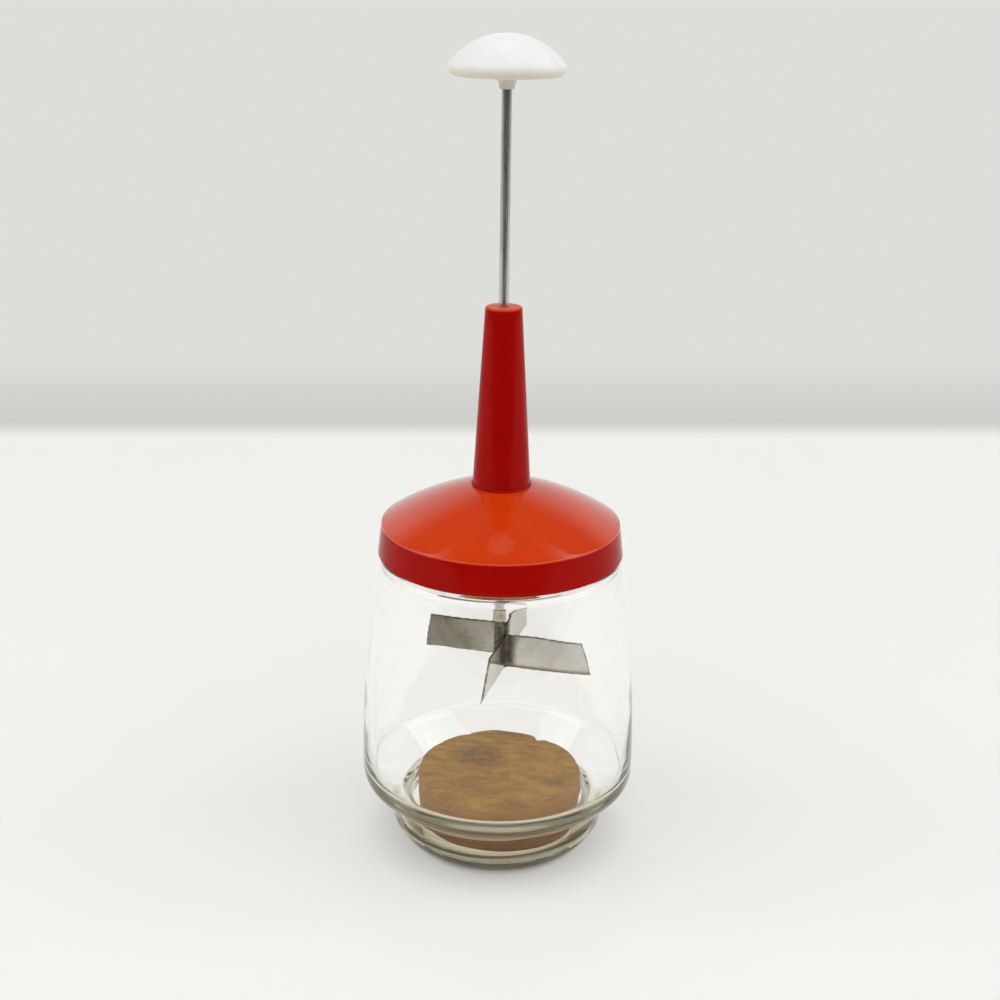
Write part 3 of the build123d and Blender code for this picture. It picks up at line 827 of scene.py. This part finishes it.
class CHOPPER_OT_wooden_disc(bpy.types.Operator):
    """Loose wooden chopping disc with worn edges, chips and knife cuts"""

    bl_idname = "chopper.wooden_disc"
    bl_label = "Wooden disc"

    def execute(self, context):
        size = context.scene.chopper_disc
        low, high, radius = DISC_LOW.z, DISC_HIGH.z, size.radius
        middle = (DISC_LOW + DISC_HIGH) / 2
        disc = turn(
            "wooden_disc",
            [
                (0.0, high), (radius / 2, high), (radius, high, size.edge), (radius, low, size.edge),
                (radius / 2, low), (0.0, low),
            ],
        )
        with editing(disc):
            bpy.ops.mesh.select_all(action="SELECT")
            bpy.ops.transform.translate(value=(middle.x, 0, 0))
        fine_enough_for_cuts = 0.42 * MM
        modify(disc, "REMESH", mode="VOXEL", voxel_size=fine_enough_for_cuts, use_smooth_shade=True)
        self.wear(disc, middle, radius, high, size.cut_depth)
        smooth(disc, angle=radians(60))
        seat(disc, chopped_wood(size.pale, size.dark, radius), "jar_body", "worn_wood", "chopping_disc")
        return {"FINISHED"}

    def wear(self, disc, middle, radius, high, depth):
        """Knocks the disc out of round, breaks chips from its rim, and cuts and hollows its top."""
        points = points_of(disc)
        off = points[:, :2] - np.array((middle.x, middle.y))
        out = np.hypot(off[:, 0], off[:, 1])
        around = np.arctan2(off[:, 1], off[:, 0])
        share = np.clip(out / radius, 0, 1)
        uneven = 0.22 * np.sin(3 * around + 0.7) + 0.18 * np.sin(7 * around + 2.1) + 0.1 * np.sin(13 * around)
        points[:, :2] -= off * ((0.5 + uneven) * 0.5 * MM * share**6 / np.maximum(out, MM))[:, None]

        near_rim = np.clip((out - radius + 3.2 * MM) / (2.2 * MM), 0, 1)
        near_top = np.clip((points[:, 2] - high + 4.5 * MM) / (4.0 * MM), 0, 1)
        for angle, width, drop in RIM_CHIPS:
            away = (around - radians(angle) + pi) % tau - pi
            bite = np.exp(-((away * radius / (width / 2 * MM)) ** 2)) * near_rim * near_top
            points[:, 2] -= bite * drop * MM
            points[:, :2] -= off * (bite * 0.8 * drop * MM / np.maximum(out, MM))[:, None]

        cuts, cut_count, cut_fade = np.zeros(len(points)), 46, 2.5 * MM
        draw = np.random.default_rng(7)
        on_top = points[:, 2] > high - 1.2 * MM
        for _ in range(cut_count):
            centre = draw.normal(0, 0.42, 2) * radius
            angle = draw.choice((0.0, pi / 2)) + draw.normal(0, 0.5)
            half = draw.uniform(3, 12) * MM
            width = draw.uniform(0.35, 0.6) * MM
            bite = draw.uniform(0.25, 1.0)
            along = (off[:, 0] - centre[0]) * cos(angle) + (off[:, 1] - centre[1]) * sin(angle)
            beside = (off[:, 1] - centre[1]) * cos(angle) - (off[:, 0] - centre[0]) * sin(angle)
            ends = np.clip((half - np.abs(along)) / cut_fade, 0, 1)
            cuts = np.maximum(cuts, np.where(on_top, bite * ends * np.exp(-((beside / width) ** 2)), 0))
        hollow = np.clip(1 - (out / (0.8 * radius)) ** 2, 0, 1) * 0.25 * MM
        points[:, 2] -= cuts * depth + np.where(on_top, hollow, 0)
        set_points(disc, points)
        mark(disc, "cut", cuts)


class CHOPPER_OT_screw_lid(bpy.types.Operator):
    """Screw lid: flat cone, short skirt with a thread inside, land on the jar's rim and a thick hub"""

    bl_idname = "chopper.screw_lid"
    bl_label = "Screw lid"

    def execute(self, context):
        size = context.scene.chopper_lid
        low, high = LID_LOW.z, LID_HIGH.z
        skirt_top = low + size.skirt_height
        top_radius = size.radius - size.draft
        inner = size.radius - size.skirt_wall
        land, land_inner = skirt_top - 1.2 * MM, inner - 4.4 * MM
        cone_foot = context.scene.chopper_tower.base_radius + 0.7 * MM
        hub, hub_low, bore = 12.5 * MM, high - 3.6 * MM, 8.23 * MM
        cone_wall = 2.2 * MM / cos(radians(23))
        cone_rings, skirt_rings, thread_rings = 24, 6, 24
        shoulder_fillet, edge_fillet, inner_edge_fillet, land_fillet, hub_fillet = (
            fillet * MM for fillet in (0.5, 0.45, 0.3, 0.6, 0.4)
        )
        cone = bowed((cone_foot, high), (top_radius, skirt_top), -size.cone_crown, cone_rings)
        under = [(radius, height - cone_wall) for radius, height in reversed(cone)]
        outline = chain(
            [(bore, high)],
            cone[:-1],
            [(top_radius, skirt_top, shoulder_fillet)],
            straight((top_radius, skirt_top), (size.radius, low), skirt_rings)[1:-1],
            [(size.radius, low, edge_fillet), (inner, low, inner_edge_fillet)],
            straight((inner, low + 0.8 * MM), (inner, land - 1.2 * MM), thread_rings),
            [(inner, land, land_fillet), (land_inner, land)],
            [point for point in under if hub < point[0] < land_inner],
            [(hub, hub_low, hub_fillet), (bore, hub_low), (bore, high)],
        )
        lid = turn("screw_lid", outline)
        raise_thread(lid, inner, low + 1.0 * MM, land - 1.4 * MM, -size.thread_height)
        smooth(lid)
        seat(lid, lid_plastic(size, cone_foot), "lid_body", "red_plastic", "lid")
        return {"FINISHED"}


class CHOPPER_OT_spring_tower(bpy.types.Operator):
    """Tapered tower on the lid, with a lipped foot, a spigot through the lid and a guide hole in its cap"""

    bl_idname = "chopper.spring_tower"
    bl_label = "Spring tower"

    def execute(self, context):
        size = context.scene.chopper_tower
        top, base, spigot_low = TOWER_HIGH.z, LID_HIGH.z, TOWER_LOW.z
        cap, plug_top = top - 2.5 * MM, 123.5 * MM
        hole, spigot = 1.55 * MM, size.base_radius - 0.8 * MM
        top_bore, base_bore = size.top_radius - 1.5 * MM, spigot - 1.4 * MM
        lip, lip_top = size.base_radius + size.lip, base + 0.9 * MM
        top_fillet, lip_fillet, wall_rings = 0.55 * MM, 0.17 * MM, 12
        outline = chain(
            [(hole, cap), (hole, top), (size.top_radius, top, top_fillet)],
            straight((size.top_radius, top), (size.base_radius, lip_top), wall_rings)[1:],
            [(lip, lip_top, lip_fillet), (lip, base), (spigot, base)],
            [(spigot, spigot_low), (base_bore, spigot_low), (base_bore, plug_top), (top_bore, cap), (hole, cap)],
        )
        tower = turn("spring_tower", outline, TOWER_STEPS)
        plastic = bpy.data.objects["screw_lid"].data.materials[0]
        seat(tower, plastic, "lid_body", "red_plastic", "tower")
        return {"FINISHED"}


class CHOPPER_OT_return_spring(bpy.types.Operator):
    """Return spring round the rod: one wire with close turns at both ends"""

    bl_idname = "chopper.return_spring"
    bl_label = "Return spring"

    def execute(self, context):
        size = context.scene.chopper_spring
        low, high = SPRING_LOW.z, SPRING_HIGH.z
        rise, start = high - low - size.wire, low + size.wire / 2
        wire_sides, turn_steps = 14, 28
        bpy.ops.object.select_all(action="DESELECT")
        bpy.ops.mesh.primitive_circle_add(
            vertices=wire_sides, radius=size.wire / 2, location=(size.radius, 0, start), rotation=(pi / 2, 0, 0)
        )
        spring = bpy.context.object
        spring.name = spring.data.name = "coiled_spring"
        bpy.ops.object.transform_apply(location=True, rotation=True, scale=True)
        modify(
            spring, "SCREW", axis="Z", angle=tau, screw_offset=rise / size.turns, iterations=size.turns,
            steps=turn_steps, render_steps=turn_steps, use_smooth_shade=True,
        )
        with editing(spring):
            for end in (low + size.wire, high - size.wire):
                pick(spring, "edges", lambda edge: edge.is_boundary and abs(edge.verts[0].co.z - end) < size.wire)
                bpy.ops.mesh.edge_face_add()
            close_seams()
        self.close_ends(spring, start, rise, size)
        smooth(spring)
        seat(spring, drawn_steel("spring_steel", size.steel, 0.3), "lid_body", "spring_steel", "return_spring")
        press = next(joint for joint in frame["joints"] if joint["name"] == "plunger_press")
        travel = press["range_m"][1]
        (high - low - travel) / (high - low)
        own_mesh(spring)
        return {"FINISHED"}

    def close_ends(self, spring, start, rise, size):
        """Brings the first and the last turn nearly together and opens the turns between."""
        points = points_of(spring)
        around = np.arctan2(points[:, 1], points[:, 0]) / tau
        even = rise / size.turns
        turns = around + np.round((points[:, 2] - start) / even - around)
        end_pitch = size.wire + 0.5 * MM
        open_pitch = (rise - 2 * end_pitch) / (size.turns - 2)
        wound = np.where(
            turns < 1,
            turns * end_pitch,
            np.where(
                turns > size.turns - 1,
                rise - (size.turns - turns) * end_pitch,
                end_pitch + (turns - 1) * open_pitch,
            ),
        )
        points[:, 2] += wound - turns * even
        set_points(spring, points)


class CHOPPER_OT_plunger(bpy.types.Operator):
    """Steel rod with its clip groove, white mushroom knob and pale collar"""

    bl_idname = "chopper.plunger"
    bl_label = "Rod, knob and collar"

    def execute(self, context):
        size = context.scene.chopper_plunger
        self.rod(size)
        self.knob(size)
        self.collar(size)
        return {"FINISHED"}

    def rod(self, size):
        """Round bar with bevelled ends and the clip's groove."""
        low, high, radius, edge = ROD_LOW.z, ROD_HIGH.z, size.rod_radius, 0.3 * MM
        groove_low, groove_high, groove = 175.07 * MM, 175.73 * MM, radius - 0.4 * MM
        lower_rings, upper_rings = 16, 10
        outline = chain(
            [(0.0, low), (radius - edge, low), (radius, low + edge)],
            straight((radius, low + edge), (radius, groove_low), lower_rings),
            [(groove, groove_low), (groove, groove_high), (radius, groove_high)],
            straight((radius, groove_high), (radius, high - edge), upper_rings),
            [(radius - edge, high), (0.0, high)],
        )
        rod = turn("steel_rod", outline, SLIM_STEPS)
        steel = drawn_steel("rod_steel", size.rod_steel, 0.24, grimy=COLLAR_LOW.z)
        seat(rod, steel, "plunger_body", "rod_steel", "plunger_rod")

    def knob(self, size):
        """Mushroom knob: dome, rolled rim, flared neck, and a socket for the rod."""
        base, top = KNOB_LOW.z, KNOB_HIGH.z
        rim = top - size.dome_height
        under, under_radius = rim - 3.2 * MM, size.knob_radius - 3.6 * MM
        socket, neck = size.rod_radius + HAIR, size.rod_radius + 0.73 * MM
        socket_top = base + 9.0 * MM
        flare, flare_height = neck + 4.0 * MM, under + 0.6 * MM
        dome_rings, rim_rings, under_rings, neck_rings = 26, 12, 6, 10
        dome = tangent_arc((0.0, top), 0.0, (size.knob_radius, rim), dome_rings)
        heading = atan2(dome[-1][1] - dome[-2][1], dome[-1][0] - dome[-2][0])
        outline = chain(
            dome,
            tangent_arc((size.knob_radius, rim), heading, (under_radius, under), rim_rings),
            straight((under_radius, under), (flare, flare_height), under_rings),
            tangent_arc((neck, base), pi / 2, (flare, flare_height), neck_rings)[::-1],
            [(socket, base), (socket, socket_top), (0.0, socket_top)],
        )
        knob = turn("mushroom_knob", outline, KNOB_STEPS)
        seat(knob, knob_plastic(size.knob_plastic, under, rim), "plunger_body", "white_plastic", "knob")

    def collar(self, size):
        """Turned collar with a low bead at each end."""
        low, high = COLLAR_LOW.z, COLLAR_HIGH.z
        bore, radius, edge, soft = size.rod_radius + HAIR, COLLAR_HIGH.y, 0.3 * MM, 0.1 * MM
        waist, bead, step = radius - 0.12 * MM, 1.0 * MM, 1.2 * MM
        outline = chain(
            [(bore, low), (radius, low, edge), (radius, low + bead, soft)],
            [(waist, low + step), (waist, high - step), (radius, high - bead, soft)],
            [(radius, high, edge), (bore, high), (bore, low)],
        )
        collar = turn("blade_ferrule", outline, SLIM_STEPS)
        seat(collar, collar_finish(size.collar_metal, low, high), "plunger_body", "plain_steel", "blade_collar")


class CHOPPER_OT_blades(bpy.types.Operator):
    """Two V-bent steel strips back to back beside the rod, ground along the lower edge"""

    bl_idname = "chopper.blades"
    bl_label = "Blades"

    def execute(self, context):
        size = context.scene.chopper_blades
        near, far = self.bends(context.scene.chopper_plunger.rod_radius, size)
        middle = Matrix.Rotation(-BLADE_TURN, 4, "Z") @ Vector((near, near, 0.0))
        steel = rolled_strip(size.steel, size.stain_and_shade_colour, middle)
        reach = size.reach
        for name, node, box, turned, bend, side, end in (
            (
                "front_cutter", "front_blade", (FRONT_BLADE_LOW, FRONT_BLADE_HIGH), -BLADE_TURN, (near, far),
                (reach, size.right_slant), (reach - size.front_trim, size.front_slant),
            ),
            (
                "rear_cutter", "rear_blade", (REAR_BLADE_LOW, REAR_BLADE_HIGH), pi - BLADE_TURN, (-far, -near),
                (reach - size.left_trim, size.left_slant), (reach - size.rear_trim, size.rear_slant),
            ),
        ):
            low, high = box[0].z, box[1].z
            blade = self.strip(name, low, high, size, bend, side[0], end[0])
            self.wear(blade, low, high, size, bend, side, end)
            with editing(blade):
                close_seams()
            blade.data.transform(Matrix.Rotation(turned, 4, "Z"))
            smooth(blade, angle=radians(24))
            seat(blade, steel, "plunger_body", "blade_steel", node)
        return {"FINISHED"}

    def bends(self, rod, size):
        """Distances of the strips' middles from the rod's axis: those that it lies against, and the others."""
        near = rod + HAIR + size.thickness / 2
        inset = 2 * (size.bend + size.thickness) * (1 - cos(pi / 4))
        return near, near + inset - size.thickness - HAIR * cos(pi / 4)

    def strip(self, name, low, high, size, bend, side_tip, end_tip):
        """The bent strip before it is worn: its plan is drawn, raised row by row and thickened."""
        radius = size.bend + size.thickness / 2
        centre = (bend[0] + radius, bend[1] - radius)
        wing_steps, elbow_steps, bevel_rows, wing_rows = 44, 6, 2, 12
        turns = [pi / 2 * k / elbow_steps for k in range(elbow_steps + 1)]
        elbow = [(centre[0] - radius * sin(t), centre[1] + radius * cos(t)) for t in turns]
        plan = chain(
            straight((side_tip, bend[1]), elbow[0], wing_steps),
            elbow,
            straight(elbow[-1], (bend[0], -end_tip), wing_steps),
        )
        blade = start_point(name, (*plan[0], low))
        rows = [size.bevel / bevel_rows] * bevel_rows + [(high - low - size.bevel) / wing_rows] * wing_rows
        with editing(blade):
            bpy.ops.mesh.select_all(action="SELECT")
            draw_line((there[0] - here[0], there[1] - here[1], 0) for here, there in pairwise(plan))
            bpy.ops.mesh.select_all(action="SELECT")
            for row in rows:
                bpy.ops.mesh.extrude_edges_move(TRANSFORM_OT_translate={"value": (0, 0, row)})
            close_seams()
        modify(blade, "SOLIDIFY", thickness=size.thickness, offset=0.0, use_even_offset=True)
        return blade

    def wear(self, blade, low, high, size, bend, side, end):
        """Slants the tips, grinds the lower edge, warps the wings and leaves their edges a little ragged."""
        points = points_of(blade)
        root, ground_edge = 4 * MM, 0.15 * MM
        up = points[:, 2] - low
        share = up / (high - low)
        along_side, along_end = points[:, 0] - bend[0], bend[1] - points[:, 1]
        on_side = along_side > along_end
        out, inside = np.where(on_side, along_side, along_end), np.where(on_side, along_end, along_side)
        full = np.where(on_side, side[0] - bend[0], end[0] + bend[1])
        slant = np.where(on_side, side[1], end[1])

        ground = np.clip(1 - up / size.bevel, 0, 1) * (inside > 0) * (out > 1.5 * MM)
        warp = 0.07 * MM * np.sin(out * 210 + 1) * np.sin(up * 260 + 0.5) * np.clip(out / (8 * MM) - 0.6, 0, 1)
        worn_inside = inside - ground * (size.thickness - ground_edge) + warp
        stretch = np.clip((out - root) / (full - root), 0, 1)
        ragged = 0.12 * MM * (np.sin(up * 2900 + 1.3) - 1) * stretch**24
        worn_out = out + stretch * (0.2 * MM * np.sin(pi * share) - slant * share) + ragged
        points[:, 0] = bend[0] + np.where(on_side, worn_out, worn_inside)
        points[:, 1] = bend[1] - np.where(on_side, worn_inside, worn_out)
        saw = np.sin(out * 1900) + 0.7 * np.sin(out * 4100 + 2) + 0.5 * np.sin(out * 7700 + up * 10)
        points[:, 2] += np.where(share > 0.999, 0.07 * MM * saw - 0.15 * MM, 0)
        points[:, 2] += np.where(share < 0.001, 0.05 * MM * saw + 0.1 * MM, 0)
        set_points(blade, points)
        bright = (up < size.bevel * 1.01) * (inside > 0)
        mark(blade, "ground", bright)
        mark(blade, "height share", share)
        mark(blade, "tip share", stretch)


class CHOPPER_OT_inner_parts(bpy.types.Operator):
    """Finishes for the guide plug, the spring follower and the retaining clip, which keep their solids"""

    bl_idname = "chopper.inner_parts"
    bl_label = "Inner parts"

    def execute(self, context):
        finishes = {
            "guide_plug": moulded_plastic("natural_plastic", (0.78, 0.74, 0.66), 0.42, (0.70, 0.62, 0.48)),
            "spring_follower": drawn_steel("follower_steel", (0.56, 0.54, 0.50), 0.34),
            "retaining_clip": drawn_steel("clip_steel", (0.36, 0.36, 0.37), 0.3),
        }
        for node, finish in finishes.items():
            solid = frame["nodes"][node]
            solid.data.materials.clear()
            solid.data.materials.append(finish)
        return {"FINISHED"}


class CHOPPER_OT_stage(bpy.types.Operator):
    """White floor that sweeps up into a pale wall, soft room light, one lamp, and the camera"""

    bl_idname = "chopper.stage"
    bl_label = "Stage"

    def execute(self, context):
        size = context.scene.chopper_stage
        self.sweep(size)
        self.sky(context.scene, size)
        self.lamp()
        self.camera(context.scene)
        context.scene.view_settings.view_transform = "Standard"
        context.scene.cycles.max_bounces = LIGHT_BOUNCES
        context.scene.cycles.glossy_bounces = LIGHT_BOUNCES
        context.scene.cycles.transmission_bounces = LIGHT_BOUNCES
        return {"FINISHED"}

    def sweep(self, size):
        """Floor and wall in one sheet, with a tight cove between them."""
        half_width, front, height, cove, cove_steps = 1.6, 0.5, 1.6, 5 * MM, 10
        floor_end = size.wall_distance - cove
        depth = front + floor_end
        bpy.ops.object.select_all(action="DESELECT")
        bpy.ops.mesh.primitive_plane_add(size=1.0)
        sweep = bpy.context.object
        sweep.name = sweep.data.name = "studio_sweep"
        sweep.scale = (2 * half_width, depth, 1.0)
        sweep.location = (0, floor_end - depth / 2, 0)
        bpy.ops.object.transform_apply(location=True, rotation=True, scale=True)
        turns = [pi / 2 * k / cove_steps for k in range(cove_steps + 1)]
        curve = [(cove * sin(t), cove * (1 - cos(t))) for t in turns]
        with editing(sweep):
            pick(sweep, "edges", lambda edge: all(end.co.y > floor_end - MM for end in edge.verts))
            for here, there in pairwise(curve):
                step = (0, there[0] - here[0], there[1] - here[1])
                bpy.ops.mesh.extrude_edges_move(TRANSFORM_OT_translate={"value": step})
            bpy.ops.mesh.extrude_edges_move(TRANSFORM_OT_translate={"value": (0, 0, height)})
        sweep.data.transform(Matrix.Rotation(size.wall_turn, 4, "Z"))
        smooth(sweep, angle=radians(40))
        sweep.data.materials.append(self.paper(size))

    def paper(self, size):
        """Matt paper that keeps the chopper's shadow, and glows for the rays that show the background."""
        finish = Finish("sweep_paper", Base_Color=size.floor, Roughness=0.75, Specular_IOR_Level=0.1)
        back, up = finish.parts(finish.stretched(finish.place, (1.0, 1.0, 1.0), (0.0, 0.0, -size.wall_turn)))[1:]
        on_wall = finish.span(back, size.wall_distance - 46 * MM, size.wall_distance - 8 * MM)
        fleck = finish.noise(finish.place, 9.0, 3.0)
        floor = finish.blend(finish.span(fleck, 0.3, 0.7, 0.0, 0.25), size.floor, scaled(size.floor, 0.96))
        # Painted shade: the wall is darker over its lowest 45 mm, standing in for the shade in the cove; its glow
        # below carries the same painted shade.
        wall = finish.blend(finish.span(up, 2 * MM, 45 * MM), scaled(size.wall, 0.86), size.wall)
        finish.give(Base_Color=finish.blend(on_wall, floor, wall))

        camera, mirrored, through = finish.rays()
        direct = camera.larger(mirrored)
        near = finish.span(finish.round(finish.place)[0], 33 * MM, 48 * MM, 0.15, 0.45)
        share = (direct * near).larger(through * 0.85).larger(direct.larger(through) * on_wall)
        lifted = finish.blend(through, scaled(size.floor, 1.05), scaled(size.floor, 1.19))
        lifted = finish.blend(on_wall, lifted, wall)
        lifted = finish.blend(finish.span(up, 0.35, 0.8), lifted, scaled(size.wall, 0.2))
        glow = finish.add("ShaderNodeEmission", {}, {"Color": lifted})
        matt = Signal(finish, finish.shader.outputs[0])
        mixed = finish.add("ShaderNodeMixShader", {}, {0: share, 1: matt, 2: glow})
        finish.feed(finish.tree.nodes["Material Output"].inputs["Surface"], mixed)
        return finish.material

    def sky(self, scene, size):
        """Room light: brightest above and behind the chopper, dimmer behind the camera."""
        world = bpy.data.worlds.new("studio")
        world.use_nodes = True
        scene.world = world
        nodes = Nodes(world.node_tree)
        along, up = nodes.parts(nodes.add("ShaderNodeTexCoord", output="Generated"))[1:]
        ring = nodes.span(up, 0.1, 0.45) * nodes.span(up, 0.74, 0.94, 1.0, 0.05)
        level = 0.36 + ring * 2.45 - nodes.span(along, 0.3, -0.6) * (0.3 + ring * 0.8)
        seen, mirrored = nodes.rays()[:2]
        level = level * (1 - mirrored * nodes.span(up, 0.82, 0.94, 0.0, 0.75))
        background = nodes.tree.nodes["Background"]
        nodes.feed(background.inputs["Color"], nodes.blend(seen, (0.985, 1.0, 1.0), size.wall))
        nodes.feed(background.inputs["Strength"], seen + (1 - seen) * level)

    def lamp(self):
        """A small lamp above and behind the chopper, which leaves a glint on the cone."""
        place, aim = Vector((0.0, 0.45, 1.25)), Vector((0.0, 0.0, 0.1))
        bpy.ops.object.light_add(type="AREA", location=place)
        lamp = bpy.context.object
        lamp.name = "overhead_lamp"
        lamp.data.shape = "DISK"
        lamp.data.size = 0.07
        lamp.data.energy = 0.5
        lamp.rotation_euler = (aim - place).to_track_quat("-Z", "Y").to_euler()

    def camera(self, scene):
        """The photograph's view: 0.47 m away, 19.6 degrees down, with a slight roll."""
        eye, aim, roll = Vector((0, -442.07, 274.52)) * MM, Vector((0, 0, 116.82)) * MM, radians(0.807)
        bpy.ops.object.camera_add(location=eye)
        camera = bpy.context.object
        camera.name = "photo_camera"
        level = (aim - eye).to_track_quat("-Z", "Y")
        camera.rotation_euler = (level @ Matrix.Rotation(roll, 3, "Z").to_quaternion()).to_euler()
        camera.data.sensor_width = 36.0
        camera.data.lens = 54.0
        camera.data.shift_x = -1.138 / FRAME_PIXELS
        camera.data.clip_start = 0.01
        scene.camera = camera


class CHOPPER_PT_panel(bpy.types.Panel):
    """Sizes, colours and steps of the chopper"""

    bl_idname = "CHOPPER_PT_panel"
    bl_label = "Food chopper"
    bl_space_type = "VIEW_3D"
    bl_region_type = "UI"
    bl_category = "Chopper"

    def draw(self, context):
        for operator, settings in STEPS.items():
            box = self.layout.box()
            box.operator(operator.bl_idname)
            if settings:
                group = getattr(context.scene, settings)
                for name in group.__annotations__:
                    box.prop(group, name)


# The steps of the build in their order, each with the settings that it reads.
STEPS = {
    CHOPPER_OT_stage: "chopper_stage",
    CHOPPER_OT_glass_jar: "chopper_jar",
    CHOPPER_OT_wooden_disc: "chopper_disc",
    CHOPPER_OT_screw_lid: "chopper_lid",
    CHOPPER_OT_spring_tower: "chopper_tower",
    CHOPPER_OT_return_spring: "chopper_spring",
    CHOPPER_OT_plunger: "chopper_plunger",
    CHOPPER_OT_blades: "chopper_blades",
    CHOPPER_OT_inner_parts: None,
}
SETTINGS = {
    "chopper_stage": StageSettings,
    "chopper_jar": JarSettings,
    "chopper_disc": DiscSettings,
    "chopper_lid": LidSettings,
    "chopper_tower": TowerSettings,
    "chopper_spring": SpringSettings,
    "chopper_plunger": PlungerSettings,
    "chopper_blades": BladeSettings,
}


def register():
    for name, group in SETTINGS.items():
        bpy.utils.register_class(group)
        setattr(bpy.types.Scene, name, bpy.props.PointerProperty(type=group))
    for operator in STEPS:
        bpy.utils.register_class(operator)
    bpy.utils.register_class(CHOPPER_PT_panel)


def unregister():
    bpy.utils.unregister_class(CHOPPER_PT_panel)
    for operator in reversed(STEPS):
        bpy.utils.unregister_class(operator)
    for name, group in reversed(SETTINGS.items()):
        delattr(bpy.types.Scene, name)
        bpy.utils.unregister_class(group)


def main():
    register()
    for operator in STEPS:
        group, step = operator.bl_idname.split(".")
        getattr(getattr(bpy.ops, group), step)()


if __name__ == "__main__":
    main()
